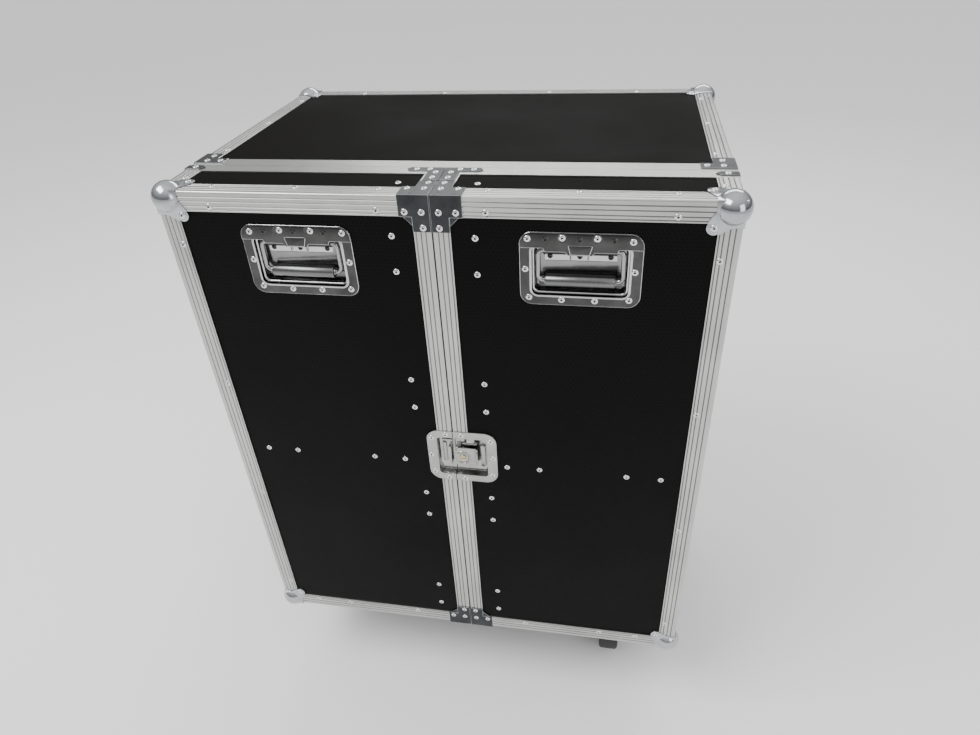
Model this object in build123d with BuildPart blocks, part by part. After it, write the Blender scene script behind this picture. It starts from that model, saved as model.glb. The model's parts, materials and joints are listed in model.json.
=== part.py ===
from build123d import *
import os

# Equipment rack case: a laminated plywood body with aluminium edges, two shallow box doors at
# the front, a recessed latch, recessed sprung handles, a 19 inch rack inside and four casters.
# Millimetres. +X is right seen from the front, +Y is backwards, +Z is up.
# The origin is on the floor, under the middle of the case.

os.makedirs("parts", exist_ok=True)

# ---------------------------------------------------------------- driving dimensions

case_width = 780.0
case_depth = 550.0
case_height = 886.0
ground_clearance = 168.0
door_depth = 108.0
split_gap = 0.6  # between the doors and the body
seam_gap = 1.2  # between the two doors

board = 9.0  # laminated plywood
wall = 1.8  # outer flange of every extrusion
edge_flange = 29.0
seam_flange = 24.4
rim_flange = 26.0
slot_floor = 11.6  # where a board butts against an edge extrusion, from the outer face
rim_floor = 9.4  # where a board butts against a rim extrusion, from the split

ball_radius = 23.0
ball_inset = 13.0
plate = 1.4  # pressed corner and brace steel

rivet_radius = 4.65
rivet_height = 1.7
flange_line = 21.5  # where the rivets of a flange stand, from the case's edge

handle_x = 195.0
handle_height = 787.0  # above the underside of the case
latch_x = 13.5
latch_height = 441.0

hinge_heights = (120.0, 443.0, 766.0)
hinge_stand_off = 6.5
knuckle_radius = 5.5
pin_radius = 2.5
running_clearance = 0.08

divider_x = 70.0
shelf_height = 435.0

rack_units = 18
rack_unit = 44.45
rack_hole_spacing = 465.1
rack_hole_radius = 3.25

caster_x = 272.0
front_caster_y = -96.5
rear_caster_y = 193.0
wheel_radius = 62.5
wheel_width = 38.0
caster_trail = 50.0

# ---------------------------------------------------------------- places worked out from them

side_x = case_width / 2
front_y = -case_depth / 2
back_y = case_depth / 2
under_z = ground_clearance
top_z = ground_clearance + case_height
split_y = front_y + door_depth
body_rim_y = split_y + split_gap / 2
door_rim_y = split_y - split_gap / 2
seam_x = seam_gap / 2
panel_front_y = front_y + wall
inner_front_y = panel_front_y + board
hinge_x = side_x + hinge_stand_off
latch_z = under_z + latch_height
handle_z = under_z + handle_height
body_middle_y = (body_rim_y + back_y) / 2
shelf_z = under_z + shelf_height
rack_base_z = under_z + (case_height - rack_units * rack_unit) / 2

X, Y, Z = Vector(1, 0, 0), Vector(0, 1, 0), Vector(0, 0, 1)


def save(piece, name):
    piece.label = name
    export_step(piece, f"parts/{name}.step")


def block(low, high, mode=Mode.ADD):
    """A box between two opposite corners, in the builder that is open."""
    size = Vector(*high) - Vector(*low)
    with Locations(Vector(*low) + size / 2):
        Box(size.X, size.Y, size.Z, mode=mode)


# ---------------------------------------------------------------- extrusions

groove_places = (8.0, 14.5, 21.5, 26.5)
groove_half_width = 0.9
groove_depth = 0.7
lip = 1.2
lip_reach = 22.0
web = 1.4
mitre_gap = 0.1


def edge_section(flange_a, flange_b):
    """Rectangles (a0, a1, b0, b1) of the double angle: outer flanges, corner tube, inner lips."""
    tube = slot_floor - 0.2
    inside = wall + board + 0.2
    return [
        (0, flange_a, 0, wall),
        (0, wall, 0, flange_b),
        (tube - web, tube, 0, tube),
        (0, tube, tube - web, tube),
        (inside - 0.1, lip_reach, inside, inside + lip),
        (inside, inside + lip, inside - 0.1, lip_reach),
    ]


rim_depth = 12.2
rim_lip_reach = 20.0
tongue = (5.3, 8.3)
tongue_height = 3.4
groove = (4.2, 9.4)
groove_wall = 1.3
groove_bottom = 5.2


def rim_section(meeting):
    """Rectangles (a0, a1, b0, b1) of the rim: a is the depth below the outer face, b runs from
    the split. The doors' rim has a tongue, and the body's rim has the groove that takes it."""
    rectangles = [
        (0, wall, 0, rim_flange),
        (0, rim_depth, rim_floor - 0.2 - web, rim_floor - 0.2),
        (rim_depth - lip, rim_depth, 0, rim_lip_reach),
    ]
    if meeting == "plain":
        return rectangles + [(0, rim_depth, 0, wall)]
    if meeting == "tongue":
        return rectangles + [(0, rim_depth, 0, wall), (*tongue, -tongue_height, wall)]
    return rectangles + [
        (0, groove[0], 0, wall),
        (groove[1], rim_depth, 0, wall),
        (groove[0] - groove_wall, groove[0], 0, groove_bottom + lip),
        (groove[1], groove[1] + groove_wall, 0, groove_bottom + lip),
        (groove[0], groove[1], groove_bottom, groove_bottom + lip),
    ]


def extrusion(rectangles, flanges, corner, run, length, a, b, start_cuts=(), end_cuts=()):
    """A bar whose section lies along a and b from the corner. Each cut is the direction of a
    neighbour's run, and mitres that end so that the two bars meet on the diagonal."""
    swapped = a.cross(b).dot(run) < 0
    first, second = (b, a) if swapped else (a, b)
    with BuildPart() as bar:
        with BuildSketch(Plane(corner, x_dir=first, z_dir=run)) as section:
            for a0, a1, b0, b1 in rectangles:
                low, high = ((b0, a0), (b1, a1)) if swapped else ((a0, b0), (a1, b1))
                with Locations(((low[0] + high[0]) / 2, (low[1] + high[1]) / 2)):
                    Rectangle(high[0] - low[0], high[1] - low[1])
            for along_a, reach in flanges:
                for place in groove_places:
                    if place + groove_half_width < reach:
                        points = [
                            (place - groove_half_width, 0),
                            (place + groove_half_width, 0),
                            (place, groove_depth),
                        ]
                        if along_a == swapped:
                            points = [(v, u) for u, v in points]
                        Polygon(*points, align=None, mode=Mode.SUBTRACT)
            if len(flanges) == 2:
                outer = section.vertices().sort_by_distance((0, 0, 0))[0]
                fillet(outer, wall + 0.4)
        extrude(amount=length)
        for cut in start_cuts:
            away = (run - cut).normalized()
            split(bisect_by=Plane(corner + away * mitre_gap / 2, z_dir=away), keep=Keep.TOP)
        for cut in end_cuts:
            away = (-run - cut).normalized()
            end = corner + run * length + away * mitre_gap / 2
            split(bisect_by=Plane(end, z_dir=away), keep=Keep.TOP)
    return bar.part


def edge_bar(corner, run, length, a, b, flange_a, flange_b, start_cuts=(), end_cuts=()):
    flanges = ((True, flange_a), (False, flange_b))
    shape = edge_section(flange_a, flange_b)
    return extrusion(shape, flanges, corner, run, length, a, b, start_cuts, end_cuts)


def rim_bar(corner, run, length, depth_dir, away_dir, meeting):
    shape = rim_section(meeting)
    cuts = (depth_dir,)
    return extrusion(shape, (), corner, run, length, depth_dir, away_dir, cuts, cuts)


def joined(pieces):
    with BuildPart() as group:
        add(pieces)
    return group.part


# ---------------------------------------------------------------- rivets

with BuildPart() as rivet:
    with BuildSketch(Plane.XZ):
        with BuildLine():
            Polyline((0, 0), (rivet_radius, 0), (rivet_radius, 0.35))
            ThreePointArc((rivet_radius, 0.35), (3.4, 1.25), (1.6, rivet_height))
            Polyline((1.6, rivet_height), (1.35, 0.7), (0, 0.7), (0, 0))
        make_face()
    revolve(axis=Axis.Z)


def riveted(planes):
    """One solid head on each plane, with its seat on the plane's origin."""
    with BuildPart() as heads:
        with Locations(*planes):
            add(rivet.part)
    return heads.part


def on_front(x, height, lift=0.0):
    return Plane((x, front_y - lift, under_z + height), z_dir=-Y)


def on_panel_front(x, height):
    return on_front(x, height, -wall)


def on_back(x, height, lift=0.0):
    return Plane((x, back_y + lift, under_z + height), z_dir=Y)


def on_level(x, depth, up, lift=0.0):
    """A seat on the top (up = 1) or the underside (up = -1), depth behind the front face."""
    level = top_z + lift if up > 0 else under_z - lift
    return Plane((x, front_y + depth, level), z_dir=Z * up)


def on_side(side, depth, height, lift=0.0):
    return Plane((side * (side_x + lift), front_y + depth, under_z + height), z_dir=X * side)


# ---------------------------------------------------------------- handles

handle_plate = (160.0, 105.8, 17.0)
handle_mouth = (126.7, 71.3, 8.0)
handle_mouth_drop = 1.6
pan_floor = (121.0, 66.0, 8.0)
pan_depth = 17.2
sheet = 1.2
bail_half_width = 56.0
bail_pivot_rise = 26.0
bail_drop = 44.0
bail_depth = 5.2
rod_radius = 3.5
grip_radius = 8.5
grip_length = 92.0
barrel_radius = 5.25
barrel_half_length = 47.0
band_bottom = 31.0
cover_bottom = 8.5


def grown(size, by):
    return (size[0] + 2 * by, size[1] + 2 * by, size[2] + by)


def handle_mount(seat):
    """Dish with its flange, and the leaf above it that is rolled round the bail's rod.
    The seat plane lies on the board, its X along the rod and its Y upwards."""
    with BuildPart() as dish:
        with BuildSketch(seat):
            RectangleRounded(*handle_plate)
        extrude(amount=sheet)
        with BuildSketch(seat.offset(sheet)):
            with Locations((0, -handle_mouth_drop)):
                RectangleRounded(*grown(handle_mouth, sheet))
        with BuildSketch(seat.offset(-pan_depth - sheet)):
            with Locations((0, -handle_mouth_drop)):
                RectangleRounded(*grown(pan_floor, sheet))
        loft()
        with BuildSketch(seat.offset(sheet)):
            with Locations((0, -handle_mouth_drop)):
                RectangleRounded(*handle_mouth)
        with BuildSketch(seat.offset(-pan_depth)):
            with Locations((0, -handle_mouth_drop)):
                RectangleRounded(*pan_floor)
        loft(mode=Mode.SUBTRACT)
    rod_line = Plane(seat.from_local_coords((0, bail_pivot_rise, -bail_depth)), z_dir=seat.x_dir)
    half_width, half_height = handle_plate[0] / 2, handle_plate[1] / 2
    with BuildPart() as leaf:
        with BuildSketch(seat.offset(sheet)):
            RectangleRounded(*handle_plate)
            with Locations((0, band_bottom - half_height)):
                Rectangle(2 * half_width + 1, 2 * half_height, mode=Mode.SUBTRACT)
            with Locations((0, bail_pivot_rise + 3.5)):
                Rectangle(2 * barrel_half_length, 7.0)
            with Locations((0, bail_pivot_rise + 1.0)):
                Rectangle(34.0, 11.0)
        extrude(amount=sheet)
        with BuildSketch(rod_line.offset(-barrel_half_length)):
            Circle(barrel_radius)
        extrude(amount=2 * barrel_half_length)
        with BuildSketch(seat.offset(-bail_depth)):
            with Locations((0, bail_pivot_rise + 2.6)):
                Rectangle(2 * barrel_half_length, 5.2)
        extrude(amount=bail_depth + sheet)
        with BuildSketch(seat.offset(-bail_depth - barrel_radius)):
            with Locations((0, (bail_pivot_rise + cover_bottom) / 2)):
                Rectangle(2 * barrel_half_length, bail_pivot_rise - cover_bottom)
        extrude(amount=1.5)
        with BuildSketch(rod_line.offset(-barrel_half_length - 1)):
            Circle(rod_radius + running_clearance)
        extrude(amount=2 * barrel_half_length + 2, mode=Mode.SUBTRACT)
    return joined([dish.part, leaf.part])


def handle_bail(seat):
    """Bent rod, closed on itself through the leaf's barrel, with a tubular grip."""
    grip_rise = bail_pivot_rise - bail_drop
    with BuildPart() as rod:
        with BuildLine(seat.offset(-bail_depth)):
            loop = FilletPolyline(
                (bail_half_width, grip_rise),
                (bail_half_width, bail_pivot_rise),
                (-bail_half_width, bail_pivot_rise),
                (-bail_half_width, grip_rise),
                close=True,
                radius=8.0,
            )
        with BuildSketch(Plane(loop @ 0, z_dir=loop % 0)):
            Circle(rod_radius)
        sweep()
    grip_start = seat.from_local_coords((-grip_length / 2, grip_rise, -bail_depth))
    with BuildPart() as grip:
        with BuildSketch(Plane(grip_start, z_dir=seat.x_dir)):
            Circle(grip_radius)
            Circle(rod_radius, mode=Mode.SUBTRACT)
        extrude(amount=grip_length)
        fillet(grip.edges().filter_by(GeomType.CIRCLE).group_by(SortBy.RADIUS)[-1], 1.5)
    return joined([rod.part, grip.part])


def handle_rivets(seat):
    """Seats for the rivets of a handle: the band lies one sheet higher than the dish."""
    upper = [(-69, 44), (-24, 46), (21, 46), (66, 43)]
    lower = [(-72.5, 0), (70.5, 0), (-68, -42), (-24, -44.5), (20.5, -44.5), (65.5, -41.5)]
    planes = [(x, y, sheet * 2) for x, y in upper] + [(x, y, sheet) for x, y in lower]
    return [Plane(seat.from_local_coords(p), z_dir=seat.z_dir) for p in planes]


front_handle_seats = {
    side: Plane((side * handle_x, panel_front_y, handle_z), x_dir=X, z_dir=-Y)
    for side in (-1, 1)
}
side_handle_seats = {
    side: Plane(
        (side * (side_x - wall), body_middle_y, handle_z), x_dir=Y * side, z_dir=X * side
    )
    for side in (-1, 1)
}
handle_hole = (131.6, 76.2, 10.0)


def handle_cut_out(seat):
    """Cuts the hole for a handle's pan through the board that the seat lies on."""
    with BuildSketch(seat) as hole:
        with Locations((0, -handle_mouth_drop)):
            RectangleRounded(*handle_hole)
    extrude(hole.sketch, amount=-board, mode=Mode.SUBTRACT)


# ---------------------------------------------------------------- pressed corners and braces

ear = 34.5
ear_radius = 9.5
corner_reach = 34.0


middle_z = under_z + case_height / 2
side_to_side = Plane.YZ
up_and_down = Plane.XY.offset(middle_z)


def reflected(pieces, about):
    """The pieces and their mirror images."""
    pieces = list(pieces)
    return pieces + [mirror(piece, about=about, mode=Mode.PRIVATE) for piece in pieces]


def ball_corner(y, backward):
    """The right upper corner at depth y: a ball, and a pressed plate with an ear on each face.
    Backward is the direction in which the case lies from that corner."""
    corner = Vector(side_x, y, top_z)
    inward = (-X, backward, -Z)
    far = corner + (inward[0] + inward[1] + inward[2]) * 2 * ball_radius
    low = (far.X, min(corner.Y, far.Y), far.Z)
    high = (corner.X, max(corner.Y, far.Y), corner.Z)
    faces = []
    for first, second, normal in (
        (inward[0], inward[1], -inward[2]),
        (inward[1], inward[2], -inward[0]),
        (inward[2], inward[0], -inward[1]),
    ):
        x_dir = first if first.cross(second).dot(normal) > 0 else second
        faces.append(Plane(corner, x_dir=x_dir, z_dir=normal))
    with BuildPart() as piece:
        with Locations(corner + (inward[0] + inward[1] + inward[2]) * ball_inset):
            Sphere(ball_radius)
        for face in faces:
            with BuildSketch(face):
                Polygon(
                    (-plate, -plate),
                    (corner_reach, -plate),
                    (corner_reach, 12.0),
                    (ear + ear_radius, edge_flange),
                    (edge_flange + 3.0, edge_flange + 3.0),
                    (edge_flange, ear + ear_radius),
                    (12.0, corner_reach),
                    (-plate, corner_reach),
                    align=None,
                )
            extrude(amount=plate)
        block(low, high, mode=Mode.SUBTRACT)
        for face in faces:
            with BuildSketch(face.offset(-wall)):
                with Locations((ear, ear)):
                    Circle(ear_radius)
                with Locations((edge_flange - 50, ear), (ear, edge_flange - 50)):
                    Rectangle(100, 100, mode=Mode.SUBTRACT)
            extrude(amount=wall + plate)
    return piece.part


def slab(points, level, thickness):
    """A flat piece on the top face, from its outline in (x, depth behind the front face)."""
    with BuildPart() as piece:
        with BuildSketch(Plane.XY.offset(level)):
            Polygon(*[(x, front_y + depth) for x, depth in points], align=None)
        extrude(amount=thickness)
    return piece.part


def upright_slab(points, level, thickness):
    """A flat piece on the front face, from its outline in (x, drop below the top face)."""
    with BuildPart() as piece:
        with BuildSketch(Plane((0, level, top_z), x_dir=X, z_dir=-Y)):
            Polygon(*[(x, -drop) for x, drop in points], align=None)
        extrude(amount=thickness)
    return piece.part


def side_slab(points, level, thickness):
    """A flat piece on the right side face, from its outline in (depth, drop)."""
    with BuildPart() as piece:
        with BuildSketch(Plane((level, front_y, top_z), x_dir=Y, z_dir=X)):
            Polygon(*[(depth, -drop) for depth, drop in points], align=None)
        extrude(amount=thickness)
    return piece.part


brace_wide = 43.0
brace_leg = seam_x + seam_flange
brace_reach = 50.0
web_side = 13.0
bracket_depths = (90.5, 103.5)


def centre_brace():
    """Right upper brace where the front edge crosses the seam edge: a leg on the top, a leg on
    the front, and a web in the inner corner of the front leg."""
    outline = [
        (seam_x, -plate),
        (brace_wide, -plate),
        (brace_wide, edge_flange),
        (brace_leg, edge_flange),
        (brace_leg, brace_reach),
        (seam_x, brace_reach),
    ]
    corner_web = [
        (brace_leg, edge_flange),
        (brace_leg + web_side, edge_flange),
        (brace_leg, edge_flange + web_side),
    ]
    return joined(
        [
            slab(outline, top_z, plate),
            upright_slab(outline, front_y, plate),
            upright_slab(corner_web, panel_front_y, wall + 0.4),
        ]
    )


def seam_bracket():
    """Right upper bracket on the door's rim: a strip along the rim and a leg along the seam."""
    near, far = bracket_depths
    outline = [
        (seam_x, far),
        (seam_x, brace_reach + 5),
        (brace_leg - 3, brace_reach + 5),
        (brace_leg - 3, near),
        (50.0, near),
        (54.0, (near + far) / 2),
        (50.0, far),
    ]
    return slab(outline, top_z, plate)


def rim_strip():
    """Narrow pointed strip, folded over the right upper edge at the door's rim."""
    near, far = 87.0, 101.5
    middle = (near + far) / 2
    drop = case_width / 2 - 361.0
    top = [
        (side_x + plate, near),
        (side_x + plate, far),
        (side_x - drop + 7, far),
        (side_x - drop, middle),
        (side_x - drop + 7, near),
    ]
    side = [(near, -plate), (far, -plate), (far, drop - 7), (middle, drop), (near, drop - 7)]
    return joined([slab(top, top_z, plate), side_slab(side, side_x, plate)])


def rim_brace():
    """Brace folded over the right upper edge at the body's rim, with a leg along each run."""
    near, far, leg_far = 113.0, 134.0, 156.0
    strip, leg = 46.0, edge_flange
    top = [
        (side_x + plate, near),
        (side_x - strip, near),
        (side_x - strip, far),
        (side_x - leg, far),
        (side_x - leg, leg_far),
        (side_x + plate, leg_far),
    ]
    side = [
        (near, -plate),
        (near, strip),
        (far, strip),
        (far, leg),
        (leg_far, leg),
        (leg_far, -plate),
    ]
    return joined([slab(top, top_z, plate), side_slab(side, side_x, plate)])


# ---------------------------------------------------------------- body

inner_x = side_x - wall - board
board_x = side_x - slot_floor
board_low_z = under_z + slot_floor
board_high_z = top_z - slot_floor
room_low_z = under_z + wall + board
room_high_z = top_z - wall - board
body_board_y = body_rim_y + rim_floor
back_board_y = back_y - slot_floor
inner_back_y = back_y - wall - board
lip_notch = lip_reach + 0.4  # keeps a board's corner clear of the lips inside an edge
rim_notch = (rim_depth + 0.2, rim_lip_reach + 0.4)

with BuildPart() as body_top_panel:
    block((-board_x, body_board_y, room_high_z), (board_x, back_board_y, room_high_z + board))

with BuildPart() as body_bottom_panel:
    block((-board_x, body_board_y, room_low_z - board), (board_x, back_board_y, room_low_z))

with BuildPart() as body_back_panel:
    block((-board_x, inner_back_y, board_low_z), (board_x, inner_back_y + board, board_high_z))

with BuildPart() as body_right_panel:
    block((inner_x, body_board_y, board_low_z), (inner_x + board, back_board_y, board_high_z))
    handle_cut_out(side_handle_seats[1])

with BuildPart() as body_left_panel:
    mirror(body_right_panel.part, about=side_to_side)

save(body_top_panel.part, "body_top_panel")
save(body_bottom_panel.part, "body_bottom_panel")
save(body_back_panel.part, "body_back_panel")
save(body_right_panel.part, "body_right_panel")
save(body_left_panel.part, "body_left_panel")

body_flange_y = body_rim_y + rim_flange + 0.2
back_corner = Vector(side_x, back_y, top_z)
long_bar = edge_bar(
    back_corner, -Y, back_y - body_flange_y, -X, -Z, edge_flange, edge_flange, (-X, -Z)
)
back_upright = edge_bar(
    back_corner, -Z, case_height, -X, -Y, edge_flange, edge_flange, (-X, -Y), (-X, -Y)
)
back_cross = edge_bar(
    back_corner, -X, case_width, -Y, -Z, edge_flange, edge_flange, (-Y, -Z), (-Y, -Z)
)
save(
    joined(
        reflected(reflected([long_bar], up_and_down), side_to_side)
        + reflected([back_upright], side_to_side)
        + reflected([back_cross], up_and_down)
    ),
    "body_edge_angles",
)

body_rim_corner = Vector(side_x, body_rim_y, top_z)
rim_cross = rim_bar(body_rim_corner, -X, case_width, -Z, Y, "groove")
rim_upright = rim_bar(body_rim_corner, -Z, case_height, -X, Y, "groove")
save(
    joined(reflected([rim_cross], up_and_down) + reflected([rim_upright], side_to_side)),
    "body_rim_profile",
)

save(
    joined(reflected(reflected([ball_corner(back_y, -Y)], up_and_down), side_to_side)),
    "body_ball_corners",
)
save(joined(reflected(reflected([rim_brace()], up_and_down), side_to_side)), "body_rim_braces")

# ---------------------------------------------------------------- rack inside the body

partition_x = 244.0
partition_front_y = -130.0
strip_leg = 18.5
strip_wall = 2.0
strip_return = 30.0
front_strip_y = -112.0
rear_strip_y = 196.0
rack_hole_steps = (6.35, 22.225, 38.1)
strip_height = rack_units * rack_unit


def rack_strip(face_y):
    """Right rack strip: an angle of steel with its holes facing the front."""
    with BuildPart() as strip:
        block(
            (partition_x - strip_leg, face_y, rack_base_z),
            (partition_x, face_y + strip_wall, rack_base_z + strip_height),
        )
        block(
            (partition_x - strip_wall, face_y, rack_base_z),
            (partition_x, face_y + strip_return, rack_base_z + strip_height),
        )
        holes = [
            Plane((rack_hole_spacing / 2, face_y, rack_base_z + unit * rack_unit + step), z_dir=Y)
            for unit in range(rack_units)
            for step in rack_hole_steps
        ]
        with BuildSketch(*holes):
            Circle(rack_hole_radius)
        extrude(amount=strip_wall, mode=Mode.SUBTRACT)
    return strip.part


with BuildPart() as right_partition:
    block(
        (partition_x, partition_front_y, room_low_z),
        (partition_x + board, inner_back_y, room_high_z),
    )
    for low, high in ((under_z, under_z + lip_notch), (top_z - lip_notch, top_z)):
        block(
            (partition_x - 1, back_y - lip_notch, low),
            (partition_x + board + 1, back_y, high),
            mode=Mode.SUBTRACT,
        )
save(joined(reflected([right_partition.part], side_to_side)), "rack_partitions")
strips = [rack_strip(front_strip_y), rack_strip(rear_strip_y)]
save(joined(reflected(strips, side_to_side)), "rack_strips")

strip_screw_planes = [
    Plane((partition_x - strip_wall, face_y + 18.0, rack_base_z + strip_height * share), z_dir=-X)
    for face_y in (front_strip_y, rear_strip_y)
    for share in (0.04, 0.27, 0.5, 0.73, 0.96)
]
save(
    joined(reflected([riveted(strip_screw_planes)], side_to_side)),
    "rack_strip_screws",
)

# ---------------------------------------------------------------- hinges

leaf_thickness = 2.0
leaf_half_height = 32.0
middle_knuckle = 10.7
knuckle_gap = 0.3
leaf_start = 4.0
leaf_end = 25.0


def hinge_leaf(height, away, knuckles):
    """Right hand leaf: away is +1 on the body and -1 on the door. Knuckles are its z spans."""
    z = under_z + height
    near, far = sorted((split_y + away * leaf_start, split_y + away * leaf_end))
    with BuildPart() as leaf:
        block(
            (side_x, near, z - leaf_half_height),
            (side_x + leaf_thickness, far, z + leaf_half_height),
        )
        for low, high in knuckles:
            root = sorted((split_y, split_y + away * leaf_start))
            block((side_x, root[0], z + low), (hinge_x, root[1], z + high))
            with BuildSketch(Plane.XY.offset(z + low)):
                with Locations((hinge_x, split_y)):
                    Circle(knuckle_radius)
            extrude(amount=high - low)
        with BuildSketch(Plane.XY.offset(z - leaf_half_height)):
            with Locations((hinge_x, split_y)):
                Circle(pin_radius + running_clearance)
        extrude(amount=2 * leaf_half_height, mode=Mode.SUBTRACT)
        # the inner corner of each root would rub on the other leaf's flange
        for low, high in knuckles:
            beyond = sorted((split_y - away * split_gap / 2, split_y - away * knuckle_radius))
            block(
                (side_x - 1, beyond[0], z + low),
                (side_x + 0.3, beyond[1], z + high),
                mode=Mode.SUBTRACT,
            )
    return leaf.part


outer_knuckles = (
    (-leaf_half_height, -middle_knuckle - knuckle_gap),
    (middle_knuckle + knuckle_gap, leaf_half_height),
)
inner_knuckle = ((-middle_knuckle, middle_knuckle),)


def hinge_pin(height):
    z = under_z + height
    with BuildPart() as pin:
        with BuildSketch(Plane.XY.offset(z - leaf_half_height - 0.2)):
            with Locations((hinge_x, split_y)):
                Circle(pin_radius)
        extrude(amount=2 * leaf_half_height + 0.2)
        with BuildSketch(Plane.XY.offset(z + leaf_half_height)):
            with Locations((hinge_x, split_y)):
                Circle(pin_radius + 1.5)
        extrude(amount=1.8)
    return pin.part


body_leaves = [hinge_leaf(height, 1, outer_knuckles) for height in hinge_heights]
save(joined(reflected(body_leaves, side_to_side)), "body_hinge_leaves")
pins = [hinge_pin(height) for height in hinge_heights]
save(joined(reflected(pins, side_to_side)), "hinge_pins")

# ---------------------------------------------------------------- doors

door_front_corner = Vector(side_x, front_y, top_z)
seam_corner = Vector(seam_x, front_y, top_z)
door_flange_y = door_rim_y - rim_flange - 0.2
door_board_y = door_rim_y - rim_floor
seam_board_x = seam_x + wall
door_board_x = seam_x + slot_floor
latch_mouth_heights = (405.0, 482.0)
latch_half_mouth = {1: 54.0, -1: 26.5}
cut_margin = 1.6
latch_pan_depth = 11.8


def latch_cut_out(side):
    """Clears the latch's pan out of whatever is built, drawn on the right for either door."""
    low, high = latch_mouth_heights
    block(
        (-1, front_y - 5, under_z + low - cut_margin),
        (
            latch_half_mouth[side] + cut_margin,
            front_y + latch_pan_depth + 1.6,
            under_z + high + cut_margin,
        ),
        mode=Mode.SUBTRACT,
    )


def door_front_panel(side):
    with BuildPart() as panel:
        block((door_board_x, panel_front_y, board_low_z), (board_x, inner_front_y, board_high_z))
        handle_cut_out(front_handle_seats[1])
        latch_cut_out(side)
    return panel.part


def door_edge_boards(side):
    front = front_y + slot_floor
    with BuildPart() as boards:
        block((inner_x, front, board_low_z), (inner_x + board, door_board_y, board_high_z))
        block(
            (seam_board_x, front, board_low_z),
            (seam_board_x + board, door_board_y, board_high_z),
        )
        latch_cut_out(side)
        block((door_board_x, front, room_high_z), (board_x, door_board_y, room_high_z + board))
        block((door_board_x, front, room_low_z - board), (board_x, door_board_y, room_low_z))
    return boards.part


def door_edge_angles():
    """Extrusions of a door: round the front face, and along its four depth edges."""
    depth = door_flange_y - front_y
    width = side_x - seam_x
    outer = edge_bar(
        door_front_corner, Y, depth, -X, -Z, edge_flange, edge_flange, (-X, -Z)
    )
    inner = edge_bar(seam_corner, Y, depth, X, -Z, seam_flange, edge_flange, (X, -Z))
    cross = edge_bar(
        door_front_corner, -X, width, Y, -Z, edge_flange, edge_flange, (Y, -Z), (Y, -Z)
    )
    upright = edge_bar(
        door_front_corner, -Z, case_height, Y, -X, edge_flange, edge_flange, (Y, -X), (Y, -X)
    )
    seam = edge_bar(
        seam_corner, -Z, case_height, Y, X, seam_flange, seam_flange, (Y, X), (Y, X)
    )
    low, high = (under_z + height for height in latch_mouth_heights)
    with BuildPart() as seam_bars:
        add(seam)
        block(
            (-1, front_y - 1, low - cut_margin),
            (seam_flange + 2, front_y + edge_flange, high + cut_margin),
            mode=Mode.SUBTRACT,
        )
    pieces = reflected([outer, inner, cross], up_and_down)
    return joined(pieces + [upright, seam_bars.part])


def door_rim_profile():
    width = side_x - seam_x
    outer = Vector(side_x, door_rim_y, top_z)
    inner = Vector(seam_x, door_rim_y, top_z)
    cross = rim_bar(outer, -X, width, -Z, -Y, "tongue")
    upright = rim_bar(outer, -Z, case_height, -X, -Y, "tongue")
    seam = rim_bar(inner, -Z, case_height, X, -Y, "plain")
    return joined(reflected([cross], up_and_down) + [upright, seam])


def door_ball_corners():
    return joined(reflected([ball_corner(front_y, Y)], up_and_down))


def door_braces():
    return joined(reflected([centre_brace(), seam_bracket(), rim_strip()], up_and_down))


bracket_length = 66.0
bracket_leg = 20.0
divider_bracket_heights = (801.5, 565.0, 327.0, 81.5)
shelf_bracket_xs = (303.5, 112.5)
rivet_pitch = 26.5
divider_rivet_x = 57.0


def door_shelving():
    """Upright divider and the half-height shelf that runs from it to the outer side. Their
    corners are notched round the lips of the extrusions."""
    back = door_rim_y - 1.2
    deep, long = rim_notch
    with BuildPart() as shelving:
        block((divider_x, inner_front_y, room_low_z), (divider_x + board, back, room_high_z))
        block((divider_x, inner_front_y, shelf_z), (inner_x, back, shelf_z + board))
        for edge, inward in ((under_z, 1), (top_z, -1)):
            for y_span, reach in (
                ((front_y, front_y + lip_notch), lip_notch),
                ((door_rim_y - long, door_rim_y), deep),
            ):
                low, high = sorted((edge, edge + inward * reach))
                block(
                    (divider_x - 1, y_span[0], low),
                    (divider_x + board + 1, y_span[1], high),
                    mode=Mode.SUBTRACT,
                )
        block(
            (side_x - lip_notch, front_y, shelf_z - 1),
            (side_x, front_y + lip_notch, shelf_z + board + 1),
            mode=Mode.SUBTRACT,
        )
        block(
            (side_x - deep, door_rim_y - long, shelf_z - 1),
            (side_x, door_rim_y, shelf_z + board + 1),
            mode=Mode.SUBTRACT,
        )
    return shelving.part


def door_shelf_brackets():
    """Steel angles between the front panel and the divider, and under the shelf."""
    y = inner_front_y
    half = bracket_length / 2
    with BuildPart() as brackets:
        for height in divider_bracket_heights:
            z = under_z + height
            block((divider_x - bracket_leg, y, z - half), (divider_x, y + 2, z + half))
            block((divider_x - 2, y, z - half), (divider_x, y + bracket_leg, z + half))
        for x in shelf_bracket_xs:
            block((x - half, y, shelf_z - bracket_leg), (x + half, y + 2, shelf_z))
            block((x - half, y, shelf_z - 2), (x + half, y + bracket_leg, shelf_z))
    return brackets.part


def door_hinge_leaves():
    return joined([hinge_leaf(height, -1, inner_knuckle) for height in hinge_heights])


# distance from the seam and height of the latch's rivets, on the right and the left door
latch_rivet_places = {
    1: ((14.0, 489.0), (61.5, 481.0), (64.6, 446.0), (15.4, 397.4), (62.0, 409.0)),
    -1: ((35.0, 481.0), (11.5, 489.0), (38.0, 445.0), (35.0, 409.0), (12.0, 397.0)),
}


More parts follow.
